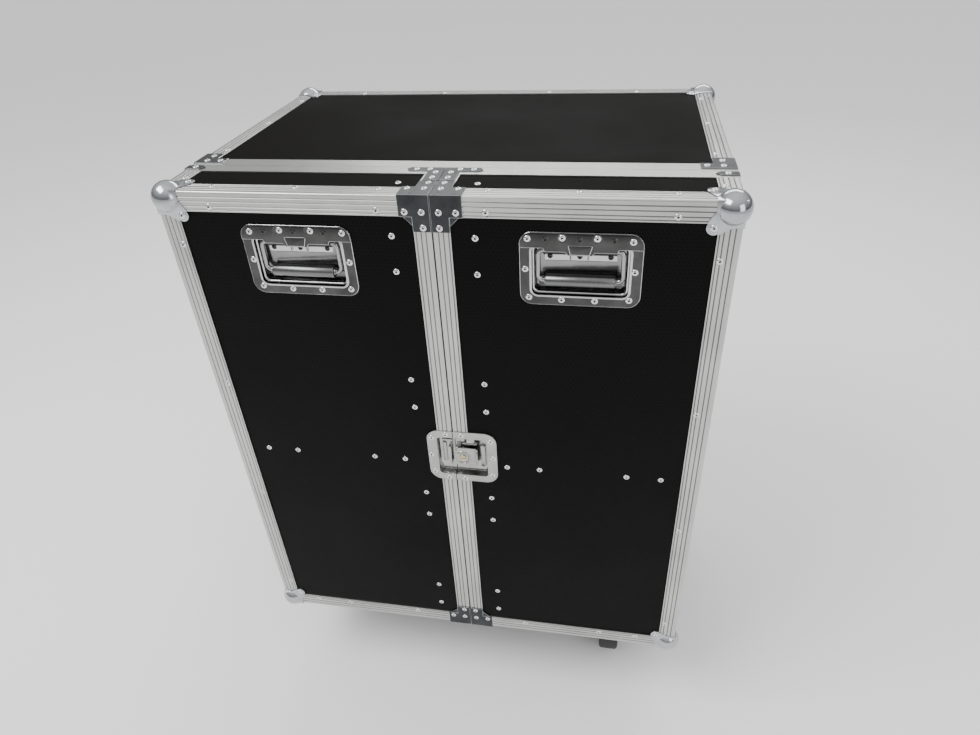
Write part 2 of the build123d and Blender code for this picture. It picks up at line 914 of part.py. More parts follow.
def door_rivets(side):
    """Every rivet on a door, drawn on the right: front panel, flanges, braces, corners, handle."""
    on_panel = [
        (divider_rivet_x, height + step)
        for height in divider_bracket_heights
        for step in (-rivet_pitch, rivet_pitch)
    ] + [
        (x + step, shelf_height - 8.0)
        for x in shelf_bracket_xs
        for step in (-rivet_pitch, rivet_pitch)
    ]
    planes = [on_panel_front(x, height) for x, height in on_panel]
    planes += [on_front(x, case_height - flange_line) for x in (73.0, 312.0)]
    planes += [on_front(x, flange_line) for x in (108.0, 250.0, 318.0)]
    planes += [on_front(side_x - flange_line, height) for height in (70.0, 318.0, 562.0, 807.0)]
    planes += [
        on_side(1, flange_line, height) for height in (70.0, 195.0, 318.0, 562.0, 685.0, 807.0)
    ]
    for up, middle in ((1, case_height), (-1, 0.0)):
        planes += [on_level(x, flange_line, up) for x in (73.0, 190.0, 312.0)]
        planes += [on_level(side_x - 20.0, 52.0, up), on_level(54.5, 50.0, up, -wall)]
        corner_places = [(11.0, 44.0), (11.4, 22.3), (34.3, 22.3)]
        planes += [on_level(x, depth, up, plate) for x, depth in corner_places]
        planes += [
            on_front(x, abs(middle - drop), plate) for x, drop in corner_places
        ]
        planes += [
            on_level(x, depth, up, plate)
            for x, depth in ((21.5, 97.0), (40.5, 97.0), (10.8, 84.5), (10.8, 64.0))
        ]
        planes += [
            on_level(side_x - 13.0, 94.2, up, plate),
            on_side(1, 94.2, abs(middle - 13.0), plate),
            on_level(side_x - ear, ear, up, plate),
            on_side(1, ear, abs(middle - ear), plate),
            on_front(side_x - ear, abs(middle - ear), plate),
        ]
    planes += handle_rivets(front_handle_seats[1])
    planes += [on_front(x, height, plate) for x, height in latch_rivet_places[side]]
    for height in hinge_heights:
        planes += [
            on_side(1, door_depth - 15.0, height + step, leaf_thickness) for step in (-24, 0, 24)
        ]
    return riveted(planes)


# the latch makes these differ from door to door
handed_pieces = {
    "front_panel": door_front_panel,
    "edge_boards": door_edge_boards,
    "rivets": door_rivets,
}
for name, make in handed_pieces.items():
    save(make(1), f"right_door_{name}")
    save(mirror(make(-1), about=side_to_side), f"left_door_{name}")

mirrored_pieces = {
    "edge_angles": door_edge_angles,
    "rim_profile": door_rim_profile,
    "ball_corners": door_ball_corners,
    "braces": door_braces,
    "shelving": door_shelving,
    "shelf_brackets": door_shelf_brackets,
    "hinge_leaves": door_hinge_leaves,
}
for name, make in mirrored_pieces.items():
    piece = make()
    save(piece, f"right_door_{name}")
    save(mirror(piece, about=side_to_side), f"left_door_{name}")

# ---------------------------------------------------------------- handles in place

for side, hand in ((1, "right"), (-1, "left")):
    save(handle_mount(front_handle_seats[side]), f"{hand}_door_handle_mount")
    save(handle_bail(front_handle_seats[side]), f"{hand}_door_handle_bail")
    save(handle_bail(side_handle_seats[side]), f"{hand}_side_handle_bail")
side_mounts = [handle_mount(side_handle_seats[side]) for side in (1, -1)]
save(joined(side_mounts), "side_handle_mounts")

# ---------------------------------------------------------------- latch

latch_plate_x = {1: 70.6, -1: 43.5}
latch_plate_heights = (392.0, 496.5)
latch_corner = 20.0
pan_floor_y = front_y + latch_pan_depth


def latch_dish(side):
    """Half of the latch's dish, drawn on the right: a flange round three sides of a pan."""
    low, high = (under_z + height for height in latch_plate_heights)
    mouth_low, mouth_high = (under_z + height for height in latch_mouth_heights)
    edge, mouth = latch_plate_x[side], latch_half_mouth[side]
    with BuildPart() as dish:
        block((seam_x, front_y - plate, low), (edge, front_y, high))
        block((seam_flange + seam_x + 0.3, front_y, low), (edge, panel_front_y, high))
        outer = dish.edges().filter_by(Axis.Y).group_by(Axis.X)[-1]
        fillet(outer, latch_corner)
        block(
            (seam_x, front_y - plate, mouth_low - sheet),
            (mouth + sheet, pan_floor_y + sheet, mouth_high + sheet),
        )
        block(
            (seam_x - 1, front_y - 2 * plate, mouth_low),
            (mouth, pan_floor_y, mouth_high),
            mode=Mode.SUBTRACT,
        )
    return dish.part


hook_y = (front_y + 5.3, front_y + 8.8)
hook_half_width = 15.0
hook_shoulder_x = 8.0
hook_wall = 3.6
tongue_half_width = 11.0
tongue_tip_x = 1.4
hook_travel = 12.7
pin_offset = hook_travel / 2
drive_pin_radius = 2.0
drive_slot = (2 * (drive_pin_radius + 0.6), 12.0)
post_radius = 4.4
post_slot = post_radius + 0.5
bridge_x = (-10.0, -6.0)
bridge_y = (front_y + 3.6, front_y + 5.0)
bridge_span = (16.0, 19.0)  # inner and outer face of a leg, from the latch's middle
guide_x = (1.5, 9.0)
guide_span = (15.4, 19.0)

with BuildPart() as latch_keeper:
    add(mirror(latch_dish(-1), about=side_to_side))
    for low, high in (bridge_span, (-bridge_span[1], -bridge_span[0])):
        block((bridge_x[0], bridge_y[0], latch_z + low), (bridge_x[1], pan_floor_y, latch_z + high))
    block(
        (bridge_x[0], bridge_y[0], latch_z - bridge_span[1]),
        (bridge_x[1], bridge_y[1], latch_z + bridge_span[1]),
    )
save(latch_keeper.part, "latch_keeper")

with BuildPart() as latch_body:
    add(latch_dish(1))
    for low, high in (guide_span, (-guide_span[1], -guide_span[0])):
        block((guide_x[0], hook_y[0], latch_z + low), (guide_x[1], pan_floor_y, latch_z + high))
save(latch_body.part, "latch_dish")

with BuildPart() as latch_hook:
    tail = latch_x + post_slot + hook_travel + hook_wall
    block(
        (hook_shoulder_x, hook_y[0], latch_z - hook_half_width),
        (tail, hook_y[1], latch_z + hook_half_width),
    )
    block(
        (tongue_tip_x, hook_y[0], latch_z - tongue_half_width),
        (hook_shoulder_x, hook_y[1], latch_z + tongue_half_width),
    )
    block(
        (latch_x - post_slot, hook_y[0] - 1, latch_z - post_slot),
        (latch_x + post_slot + hook_travel, hook_y[1] + 1, latch_z + post_slot),
        mode=Mode.SUBTRACT,
    )
    block(
        (latch_x + pin_offset - drive_slot[0] / 2, hook_y[0] - 1, latch_z),
        (latch_x + pin_offset + drive_slot[0] / 2, hook_y[1] + 1, latch_z + drive_slot[1]),
        mode=Mode.SUBTRACT,
    )
    fillet(latch_hook.edges().filter_by(Axis.Y).group_by(Axis.X)[0], 3.0)
save(latch_hook.part, "latch_hook")


def rotor_disc(radius, near, far, x=latch_x, z=latch_z):
    """A round boss of the rotor between two depths behind the front face."""
    with BuildSketch(Plane((x, front_y + near, z), z_dir=Y)) as disc:
        Circle(radius)
    extrude(disc.sketch, amount=far - near)


wing_depths = (1.2, 3.2)
wing_axis_x = 3.4
wing_knuckle = 1.7
wing_pin = 0.8
wing_middle = 7.5
wing_knuckle_end = 14.0
wing_right = 38.0
wing_half_height = 20.0
carrier_radius = 9.6

with BuildPart() as rotor:
    rotor_disc(12.0, 9.6, 11.5)
    rotor_disc(post_radius, 3.2, 9.6)
    rotor_disc(drive_pin_radius, 5.0, 9.6, latch_x + pin_offset, latch_z + pin_offset)
    rotor_disc(carrier_radius, wing_depths[0], wing_depths[1] + 0.4)
    block(
        (wing_axis_x, front_y + wing_depths[0], latch_z - wing_middle),
        (latch_x, front_y + wing_depths[1], latch_z + wing_middle),
    )
    wing_line = Plane((wing_axis_x, front_y + 2.2, latch_z - wing_middle))
    with BuildSketch(wing_line):
        Circle(wing_knuckle)
    extrude(amount=2 * wing_middle)
    with BuildSketch(wing_line):
        Circle(wing_pin)
    extrude(amount=2 * wing_middle, mode=Mode.SUBTRACT)

with BuildPart() as wing_hinge_pin:
    with BuildSketch(Plane((wing_axis_x, front_y + 2.2, latch_z - wing_knuckle_end))):
        Circle(wing_pin)
    extrude(amount=2 * wing_knuckle_end)

with BuildPart() as rotor_screw:
    rotor_disc(5.5, -0.6, wing_depths[0])
    block(
        (latch_x - 6, front_y - 1, latch_z - 0.7),
        (latch_x + 6, front_y + 0.5, latch_z + 0.7),
        mode=Mode.SUBTRACT,
    )
save(joined([rotor.part, wing_hinge_pin.part, rotor_screw.part]), "latch_rotor")

with BuildPart() as latch_wing:
    block(
        (wing_axis_x + 0.6, front_y + wing_depths[0], latch_z - wing_half_height),
        (wing_right, front_y + wing_depths[1], latch_z + wing_half_height),
    )
    fillet(latch_wing.edges().filter_by(Axis.Y), 5.0)
    block(
        (wing_right - 2, front_y - 0.8, latch_z - 12),
        (wing_right, front_y + wing_depths[1], latch_z + 12),
    )
    for low, high in ((-wing_knuckle_end, -wing_middle - 0.4), (wing_middle + 0.4, wing_knuckle_end)):
        with BuildSketch(Plane((wing_axis_x, front_y + 2.2, latch_z + low))):
            Circle(wing_knuckle)
        extrude(amount=high - low)
    with BuildSketch(Plane((latch_x, front_y, latch_z), z_dir=Y)):
        Circle(carrier_radius + 0.8)
    extrude(amount=2 * wing_depths[1], mode=Mode.SUBTRACT)
    block(
        (wing_axis_x - 3, front_y, latch_z - wing_middle - 0.4),
        (latch_x, front_y + 2 * wing_depths[1], latch_z + wing_middle + 0.4),
        mode=Mode.SUBTRACT,
    )
    with BuildSketch(Plane((wing_axis_x, front_y + 2.2, latch_z - wing_knuckle_end))):
        Circle(wing_pin + running_clearance)
    extrude(amount=2 * wing_knuckle_end, mode=Mode.SUBTRACT)
save(latch_wing.part, "latch_wing")

# ---------------------------------------------------------------- casters

caster_plate = (105.0, 85.0, 4.0)
bolt_spacing = (80.0, 60.0)
bolt_radius = 4.0
race_radius = 30.0
race_bottom = 150.0
kingpin_radius = 6.0
crown_bottom = 136.0
fork_gap = 22.0
fork_wall = 4.0
axle_radius = 6.0
axle_boss = 14.0
plate_top_z = under_z + wall
plate_bottom_z = plate_top_z - caster_plate[2]
pedal_reach = 72.0
pedal_height = 131.0
pedal_pin = 3.0
pedal_pressed = 18.0  # degrees below level
shoe_span = (18.0, 28.0)
shoe_drop = 11.4
shoe_half_width = 12.0

# name: x, y, the direction of the wheel from the swivel, and whether it has a brake
casters = {
    "front_left": (-caster_x, front_caster_y, 1, False),
    "front_right": (caster_x, front_caster_y, -1, False),
    "rear_left": (-caster_x, rear_caster_y, -1, True),
    "rear_right": (caster_x, rear_caster_y, -1, True),
}


def cylinder(x, y, low, high, radius, mode=Mode.ADD):
    """An upright round bar between two heights."""
    with BuildSketch(Plane((x, y, low))) as disc:
        Circle(radius)
    extrude(disc.sketch, amount=high - low, mode=mode)


def cross_cylinder(y, z, low, high, radius, mode=Mode.ADD):
    """A round bar along X between two places."""
    with BuildSketch(Plane((low, y, z), x_dir=Y, z_dir=X)) as disc:
        Circle(radius)
    extrude(disc.sketch, amount=high - low, mode=mode)


def caster_top(x, y):
    with BuildPart() as top:
        with BuildSketch(Plane((x, y, plate_bottom_z))):
            RectangleRounded(caster_plate[0], caster_plate[1], 8.0)
            with GridLocations(*bolt_spacing, 2, 2):
                Circle(bolt_radius + 0.5, mode=Mode.SUBTRACT)
        extrude(amount=caster_plate[2])
        cylinder(x, y, race_bottom + 0.4, plate_bottom_z, race_radius)
        cylinder(x, y, crown_bottom - 3.0, race_bottom + 0.4, kingpin_radius)
        cylinder(x, y, crown_bottom - 8.0, crown_bottom - 0.4, kingpin_radius + 4.0)
    return top.part


def caster_bolts(x, y):
    with BuildPart() as bolts:
        with BuildSketch(Plane((x, y, plate_bottom_z - 5.0))):
            with GridLocations(*bolt_spacing, 2, 2):
                RegularPolygon(7.5, 6)
        extrude(amount=5.0)
        with BuildSketch(Plane((x, y, plate_bottom_z))):
            with GridLocations(*bolt_spacing, 2, 2):
                Circle(bolt_radius)
        extrude(amount=caster_plate[2])
    return bolts.part


def caster_fork(x, y, trail, braked):
    """Crown and two legs down to the axle, which is a bolt of its own."""
    axle_y = y + trail * caster_trail
    pedal_y = y + trail * pedal_reach
    outline = [
        (y - trail * 26.0, race_bottom),
        (y - trail * 26.0, crown_bottom - 6.0),
        (axle_y - trail * axle_boss, wheel_radius),
        (axle_y - trail * axle_boss * 0.5, wheel_radius - axle_boss * 0.87),
        (axle_y + trail * axle_boss * 0.5, wheel_radius - axle_boss * 0.87),
        (axle_y + trail * axle_boss, wheel_radius),
        (y + trail * 30.0, crown_bottom - 2.0),
        (y + trail * 26.0, race_bottom),
    ]
    if braked:
        outline[6:] = [
            (pedal_y + trail * 6.0, pedal_height - 5.0),
            (pedal_y + trail * 6.0, pedal_height + 6.0),
            (y + trail * 26.0, race_bottom),
        ]
    with BuildPart() as fork:
        for low in (x - fork_gap - fork_wall, x + fork_gap):
            with BuildSketch(Plane((low, 0, 0), x_dir=Y, z_dir=X)):
                Polygon(*outline, align=None)
            extrude(amount=fork_wall)
        with BuildSketch(Plane((x, y, crown_bottom))):
            Circle(race_radius)
            Rectangle(2 * (fork_gap + fork_wall), 52.0)
        extrude(amount=race_bottom - crown_bottom)
        cylinder(x, y, crown_bottom, race_bottom, kingpin_radius + running_clearance, Mode.SUBTRACT)
    edge = fork_gap + fork_wall
    with BuildPart() as axle:
        cross_cylinder(axle_y, wheel_radius, x - edge, x + edge, axle_radius)
        cross_cylinder(axle_y, wheel_radius, x - edge - 5.0, x - edge, axle_radius + 3.5)
        cross_cylinder(axle_y, wheel_radius, x + edge, x + edge + 5.0, axle_radius + 3.5)
    with BuildPart() as bored:
        add(fork.part)
        cross_cylinder(axle_y, wheel_radius, x - edge, x + edge, axle_radius, Mode.SUBTRACT)
        if braked:
            cross_cylinder(pedal_y, pedal_height, x - edge, x + edge, pedal_pin, Mode.SUBTRACT)
    pieces = [bored.part, axle.part]
    if braked:
        with BuildPart() as pin:
            cross_cylinder(pedal_y, pedal_height, x - edge - 1, x + edge + 1, pedal_pin)
        pieces.append(pin.part)
    return joined(pieces)


def caster_wheel(x, y, trail):
    """Tyre and core, two solids on one axis."""
    axle_y = y + trail * caster_trail
    half = wheel_width / 2
    core_radius = wheel_radius - 14.0
    with BuildPart() as tyre:
        cross_cylinder(axle_y, wheel_radius, x - half, x + half, wheel_radius)
        fillet(tyre.edges().filter_by(GeomType.CIRCLE), 6.0)
        cross_cylinder(axle_y, wheel_radius, x - half, x + half, core_radius, Mode.SUBTRACT)
    with BuildPart() as core:
        cross_cylinder(axle_y, wheel_radius, x - half + 2, x + half - 2, core_radius)
        for low, high in ((x - half, x - 6.0), (x + 6.0, x + half)):
            cross_cylinder(axle_y, wheel_radius, low, high, core_radius - 5.0, Mode.SUBTRACT)
        cross_cylinder(axle_y, wheel_radius, x - half - 2.0, x + half + 2.0, axle_boss)
        cross_cylinder(
            axle_y,
            wheel_radius,
            x - half - 2.0,
            x + half + 2.0,
            axle_radius + running_clearance,
            Mode.SUBTRACT,
        )
    return joined([tyre.part, core.part])


def brake_pedal(x, y, trail):
    """Foot lever on its own pin, pressed down so that its shoe bears on the wheel."""
    pedal_y = y + trail * pedal_reach
    half = fork_gap - 1.0
    with BuildPart() as pedal:
        cross_cylinder(pedal_y, pedal_height, x - half, x + half, pedal_pin + 3.0)
        tread = sorted((pedal_y + trail * 3.0, pedal_y + trail * 42.0))
        block((x - half, tread[0], pedal_height - 1.5), (x + half, tread[1], pedal_height + 1.5))
        shoe = sorted((pedal_y + trail * shoe_span[0], pedal_y + trail * shoe_span[1]))
        block(
            (x - shoe_half_width, shoe[0], pedal_height - shoe_drop),
            (x + shoe_half_width, shoe[1], pedal_height),
        )
        cross_cylinder(
            pedal_y,
            pedal_height,
            x - half,
            x + half,
            pedal_pin + running_clearance,
            Mode.SUBTRACT,
        )
    pivot = Axis((x, pedal_y, pedal_height), X)
    return pedal.part.rotate(pivot, -trail * pedal_pressed)


save(joined([caster_top(x, y) for x, y, _, _ in casters.values()]), "caster_plates")
save(joined([caster_bolts(x, y) for x, y, _, _ in casters.values()]), "caster_bolts")
for place, (x, y, trail, braked) in casters.items():
    save(caster_fork(x, y, trail, braked), f"caster_fork_{place}")
    save(caster_wheel(x, y, trail), f"caster_wheel_{place}")
    if braked:
        save(brake_pedal(x, y, trail), f"brake_pedal_{place}")

# ---------------------------------------------------------------- rivets of the body

body_depths = (177.0, 326.0, 475.0)
right_planes = []
for up, middle in ((1, case_height), (-1, 0.0)):
    right_planes += [on_level(side_x - 21.0, depth, up) for depth in body_depths]
    right_planes += [
        on_side(1, depth, abs(middle - flange_line)) for depth in body_depths
    ]
    braces = ((374.0, 144.0), (374.0, 123.0), (352.5, 123.5))
    right_planes += [on_level(x, depth, up, plate) for x, depth in braces]
    right_planes += [on_side(1, depth, abs(middle - side_x + x), plate) for x, depth in braces]
    right_planes += [
        on_level(side_x - ear, case_depth - ear, up, plate),
        on_side(1, case_depth - ear, abs(middle - ear), plate),
        on_back(side_x - ear, abs(middle - ear), plate),
        on_level(100.0, case_depth - flange_line, up),
        on_level(260.0, case_depth - flange_line, up),
        on_back(100.0, abs(middle - flange_line)),
        on_back(260.0, abs(middle - flange_line)),
    ]
for height in (100.0, 270.0, 443.0, 616.0, 786.0):
    right_planes += [
        on_back(side_x - flange_line, height),
        on_side(1, case_depth - flange_line, height),
    ]
    right_planes.append(on_back(partition_x + board / 2, height, -wall))
for height in hinge_heights:
    right_planes += [
        on_side(1, door_depth + 15.0, height + step, leaf_thickness) for step in (-24, 0, 24)
    ]
right_planes += handle_rivets(side_handle_seats[1])
save(joined(reflected([riveted(right_planes)], side_to_side)), "body_rivets")
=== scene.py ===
import json
import math

import bmesh
import bpy
from mathutils import Matrix, Vector

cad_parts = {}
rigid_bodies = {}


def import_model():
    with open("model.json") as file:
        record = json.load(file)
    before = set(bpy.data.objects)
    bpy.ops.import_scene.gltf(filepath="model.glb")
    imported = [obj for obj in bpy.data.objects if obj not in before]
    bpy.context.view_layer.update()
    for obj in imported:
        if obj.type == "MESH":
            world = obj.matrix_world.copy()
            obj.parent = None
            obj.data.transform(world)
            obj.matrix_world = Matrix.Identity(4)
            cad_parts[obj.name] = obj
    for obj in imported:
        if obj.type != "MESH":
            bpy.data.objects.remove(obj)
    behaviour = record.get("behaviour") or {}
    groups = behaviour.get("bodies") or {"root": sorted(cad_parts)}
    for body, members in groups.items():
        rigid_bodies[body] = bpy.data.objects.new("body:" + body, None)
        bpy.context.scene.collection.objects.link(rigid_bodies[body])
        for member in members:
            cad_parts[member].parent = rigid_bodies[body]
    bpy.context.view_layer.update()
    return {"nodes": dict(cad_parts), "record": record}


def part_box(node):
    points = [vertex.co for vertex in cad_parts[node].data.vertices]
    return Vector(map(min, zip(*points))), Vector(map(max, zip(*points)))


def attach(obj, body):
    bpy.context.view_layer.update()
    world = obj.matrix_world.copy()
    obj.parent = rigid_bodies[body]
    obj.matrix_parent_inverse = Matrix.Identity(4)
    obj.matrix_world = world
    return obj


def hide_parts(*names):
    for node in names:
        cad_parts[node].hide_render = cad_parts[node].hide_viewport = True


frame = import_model()
nodes = frame["nodes"]
node_body = {n: b for b, names in frame["record"]["behaviour"]["bodies"].items() for n in names}


# ---------------------------------------------------------------- materials


class Shader:
    """A material whose nodes are added one call at a time."""

    def __init__(self, name):
        self.material = bpy.data.materials.new(name)
        self.material.use_nodes = True
        self.tree = self.material.node_tree
        self.bsdf = self.tree.nodes["Principled BSDF"]
        self.coordinates = None

    def set(self, **values):
        for key, value in values.items():
            self.bsdf.inputs[key.replace("_", " ")].default_value = value
        return self

    def add(self, kind, inputs=None, **settings):
        node = self.tree.nodes.new("ShaderNode" + kind)
        for key, value in settings.items():
            setattr(node, key, value)
        for key, value in (inputs or {}).items():
            if isinstance(value, bpy.types.NodeSocket):
                self.tree.links.new(value, node.inputs[key])
            else:
                node.inputs[key].default_value = value
        return node

    def link(self, socket, name):
        self.tree.links.new(socket, self.bsdf.inputs[name])

    def place(self, scale=(1, 1, 1)):
        if self.coordinates is None:
            self.coordinates = self.add("TexCoord").outputs["Object"]
        return self.add("Mapping", {"Vector": self.coordinates, "Scale": scale}).outputs[0]

    def noise(self, scale, stretch=(1, 1, 1), detail=3.0, roughness=0.6):
        inputs = {"Vector": self.place(stretch), "Scale": scale, "Detail": detail}
        inputs["Roughness"] = roughness
        return self.add("TexNoise", inputs).outputs["Fac"]

    def spread(self, fac, low, high, start=0.3, end=0.7):
        inputs = {"Value": fac, "From Min": start, "From Max": end, "To Min": low, "To Max": high}
        return self.add("MapRange", inputs).outputs["Result"]

    def tint(self, fac, first, second):
        node = self.add("Mix", data_type="RGBA")
        self.tree.links.new(fac, node.inputs["Factor"])
        node.inputs[6].default_value = (*first, 1)
        node.inputs[7].default_value = (*second, 1)
        return node.outputs[2]

    def math(self, operation, a, b=0.0, c=0.0):
        return self.add("Math", {0: a, 1: b, 2: c}, operation=operation).outputs[0]

    def vector(self, operation, a, b=(0, 0, 0)):
        node = self.add("VectorMath", {0: a, 1: b}, operation=operation)
        return node.outputs["Value" if operation in ("DOT_PRODUCT", "LENGTH") else "Vector"]

    def bump(self, height, distance, strength=1.0, normal=None):
        inputs = {"Height": height, "Distance": distance, "Strength": strength}
        if normal is not None:
            inputs["Normal"] = normal
        result = self.add("Bump", inputs).outputs["Normal"]
        self.link(result, "Normal")
        return result


def aluminium(axis, name="aluminium", dark=(0.46, 0.46, 0.45), light=(0.56, 0.56, 0.545)):
    """Extruded aluminium with drawing lines along one axis."""
    shader = Shader(f"{name}_{'xyz'[axis]}")
    stretch = [900.0] * 3
    stretch[axis] = 3.0
    lines = shader.noise(1.0, stretch, 4.0, 0.65)
    cloud = shader.noise(9.0)
    shader.set(Metallic=1.0)
    shader.link(shader.tint(shader.spread(cloud, 0, 1), dark, light), "Base Color")
    shader.link(shader.spread(lines, 0.24, 0.42), "Roughness")
    shader.bump(lines, 0.00006, 0.7)
    return shader.material


def zinc(name, dark, light, rough_low, rough_high, grain=0.00002):
    """Zinc plated steel, a little cloudy and finely marked."""
    shader = Shader(name)
    cloud = shader.noise(35.0, detail=4.0)
    fine = shader.noise(900.0, detail=2.0)
    shader.set(Metallic=1.0)
    shader.link(shader.tint(shader.spread(cloud, 0, 1), dark, light), "Base Color")
    shader.link(shader.spread(cloud, rough_low, rough_high), "Roughness")
    shader.bump(fine, grain, 0.5)
    return shader.material


def honeycomb():
    """Black phenolic laminate with a shallow honeycomb relief, on faces that look along Y."""
    shader = Shader("laminate_honeycomb")
    cell = 0.0062
    scaled = shader.place((1 / cell, 0, 1 / cell))
    period = (1.0, 1.0, math.sqrt(3))
    centre = (0.5, 0.5, math.sqrt(3) / 2)
    far_off = (4000.0, 0.5, 4000.0 * math.sqrt(3))
    first = shader.vector("ADD", scaled, far_off)
    second = shader.vector("ADD", first, centre)
    first = shader.vector("SUBTRACT", shader.vector("MODULO", first, period), centre)
    second = shader.vector("SUBTRACT", shader.vector("MODULO", second, period), centre)
    first_flat = shader.vector("MULTIPLY", first, (1, 0, 1))
    second_flat = shader.vector("MULTIPLY", second, (1, 0, 1))
    nearer = shader.math(
        "LESS_THAN", shader.vector("LENGTH", first_flat), shader.vector("LENGTH", second_flat)
    )
    pick = shader.add("Mix", data_type="VECTOR")
    shader.tree.links.new(nearer, pick.inputs["Factor"])
    shader.tree.links.new(second_flat, pick.inputs[4])
    shader.tree.links.new(first_flat, pick.inputs[5])
    point = shader.vector("ABSOLUTE", pick.outputs[1])
    slanted = shader.vector("DOT_PRODUCT", point, (0.5, 0, math.sqrt(3) / 2))
    split = shader.add("SeparateXYZ", {0: point}).outputs["X"]
    edge = shader.math("MAXIMUM", slanted, split)
    rim = shader.spread(edge, 0.0, 1.0, 0.40, 0.47)
    grain = shader.noise(1500.0, detail=2.0)
    height = shader.math("MULTIPLY_ADD", grain, 0.25, rim)
    shader.set(Specular_IOR_Level=0.07)
    shader.link(shader.tint(rim, (0.0015, 0.0015, 0.0014), (0.004, 0.004, 0.0038)), "Base Color")
    shader.link(shader.spread(shader.noise(5.0), 0.42, 0.52), "Roughness")
    shader.bump(height, 0.00012, 0.6)
    return shader.material


def laminate():
    """Black laminate with a fine grain and a faint brown cloud."""
    shader = Shader("laminate_plain")
    grain = shader.noise(1100.0, detail=3.0)
    cloud = shader.noise(4.0)
    shader.set(Specular_IOR_Level=0.03)
    dark, light = (0.0022, 0.002, 0.0017), (0.0042, 0.004, 0.0033)
    shader.link(shader.tint(shader.spread(cloud, 0, 1), dark, light), "Base Color")
    shader.link(shader.spread(cloud, 0.55, 0.68), "Roughness")
    shader.bump(grain, 0.0001, 0.45)
    return shader.material


def wood():
    """Dark stained birch plywood, grain along Z."""
    shader = Shader("inner_wood")
    grain = shader.noise(1.0, (120.0, 120.0, 6.0), 5.0)
    dark, light = (0.035, 0.028, 0.022), (0.07, 0.055, 0.042)
    shader.link(shader.tint(shader.spread(grain, 0, 1), dark, light), "Base Color")
    shader.set(Roughness=0.6)
    shader.bump(grain, 0.0001, 0.4)
    return shader.material


def plain(name, color, roughness, metallic=0.0, grain_scale=600.0, grain=0.00005):
    shader = Shader(name)
    fine = shader.noise(grain_scale, detail=3.0)
    darker = tuple(c * 0.82 for c in color)
    shader.set(Metallic=metallic)
    shader.link(shader.tint(shader.spread(fine, 0, 1), darker, color), "Base Color")
    shader.link(shader.spread(fine, roughness * 0.88, min(1.0, roughness * 1.1)), "Roughness")
    shader.bump(fine, grain, 0.5)
    return shader.material


axes = range(3)
alu = [aluminium(axis) for axis in axes]
# darker copies of the aluminium for the grooves' slanted sides: painted shade in the recesses
groove_shade_alu = [aluminium(axis, "groove", (0.19, 0.19, 0.187), (0.26, 0.26, 0.255)) for axis in axes]
black_comb = honeycomb()
black_plain = laminate()
inner_wood = wood()
bright_zinc = zinc("zinc_bright", (0.50, 0.51, 0.52), (0.66, 0.66, 0.67), 0.2, 0.32)
corner_zinc = zinc("zinc_corner", (0.38, 0.395, 0.41), (0.52, 0.535, 0.55), 0.14, 0.26)
dark_zinc = zinc("zinc_dark", (0.035, 0.038, 0.04), (0.065, 0.068, 0.07), 0.26, 0.38)
# very dark handle steel: painted dark reflection of the room in the polished dish
handle_steel = zinc("steel_handle", (0.05, 0.05, 0.0495), (0.085, 0.085, 0.084), 0.09, 0.17)
# a lighter copy of the handle steel for the dish's floor: painted reflection
pan_reflection_steel = zinc("steel_pan_painted_reflection", (0.22, 0.22, 0.218), (0.30, 0.30, 0.297), 0.12, 0.22)
# bright steel used only on the handles' edges, beads and folds: painted highlight
highlight_steel = zinc("steel_painted_highlight", (0.50, 0.50, 0.50), (0.62, 0.62, 0.62), 0.08, 0.16)
bail_rod_steel = zinc("steel_bail", (0.30, 0.30, 0.30), (0.40, 0.40, 0.398), 0.06, 0.13)
latch_steel = zinc("steel_latch", (0.35, 0.35, 0.342), (0.46, 0.46, 0.448), 0.12, 0.24)
rivet_zinc = zinc("zinc_rivet", (0.68, 0.68, 0.68), (0.82, 0.82, 0.82), 0.14, 0.24)
grip_grey = plain("grip_grey", (0.19, 0.19, 0.193), 0.3, 1.0)
# near-black for rivet dimples and handle bores: painted shade in the hollows
hollow_shade_dark = plain("rivet_hollow_painted_shade", (0.015, 0.015, 0.016), 0.6)
brass = zinc("brass_screw", (0.46, 0.41, 0.28), (0.60, 0.54, 0.38), 0.2, 0.32)
rack_black = plain("rack_black", (0.02, 0.02, 0.022), 0.45)
tyre_black = plain("tyre_rubber", (0.018, 0.018, 0.02), 0.62, grain_scale=300.0, grain=0.0001)
core_grey = plain("wheel_core", (0.16, 0.165, 0.175), 0.45)
pedal_red = plain("pedal_red", (0.28, 0.03, 0.022), 0.4)

slot_materials = {
    "laminate": black_plain,
    "inner_board": inner_wood,
    "corner_steel": corner_zinc,
    "brace_steel": dark_zinc,
    "rivet_steel": rivet_zinc,
    "handle_steel": handle_steel,
    "bail_steel": grip_grey,
    "latch_steel": latch_steel,
    "hinge_steel": bright_zinc,
    "rack_steel": rack_black,
    "screw_steel": dark_zinc,
    "caster_steel": bright_zinc,
    "wheel": tyre_black,
    "pedal_steel": pedal_red,
}


class Groups:
    """Numbered things, of which some are joined."""

    def __init__(self, count):
        self.parent = list(range(count))

    def root(self, i):
        while self.parent[i] != i:
            self.parent[i] = self.parent[self.parent[i]]
            i = self.parent[i]
        return i

    def join(self, numbers):
        first = self.root(numbers[0])
        for i in numbers[1:]:
            self.parent[self.root(i)] = first


def islands(mesh):
    """Lists of the polygons that hang together."""
    groups = Groups(len(mesh.vertices))
    for polygon in mesh.polygons:
        groups.join(list(polygon.vertices))
    found = {}
    for polygon in mesh.polygons:
        found.setdefault(groups.root(polygon.vertices[0]), []).append(polygon)
    return list(found.values())


# the sides of an extrusion's grooves fall 0.9 over 0.7
groove_steepness = 0.9 / math.hypot(0.9, 0.7)


def in_groove(normal):
    """True on the slanted sides of an extrusion's grooves."""
    steep = max(abs(c) for c in normal)
    return abs(steep - groove_steepness) < 0.004 and min(abs(c) for c in normal) < 0.01


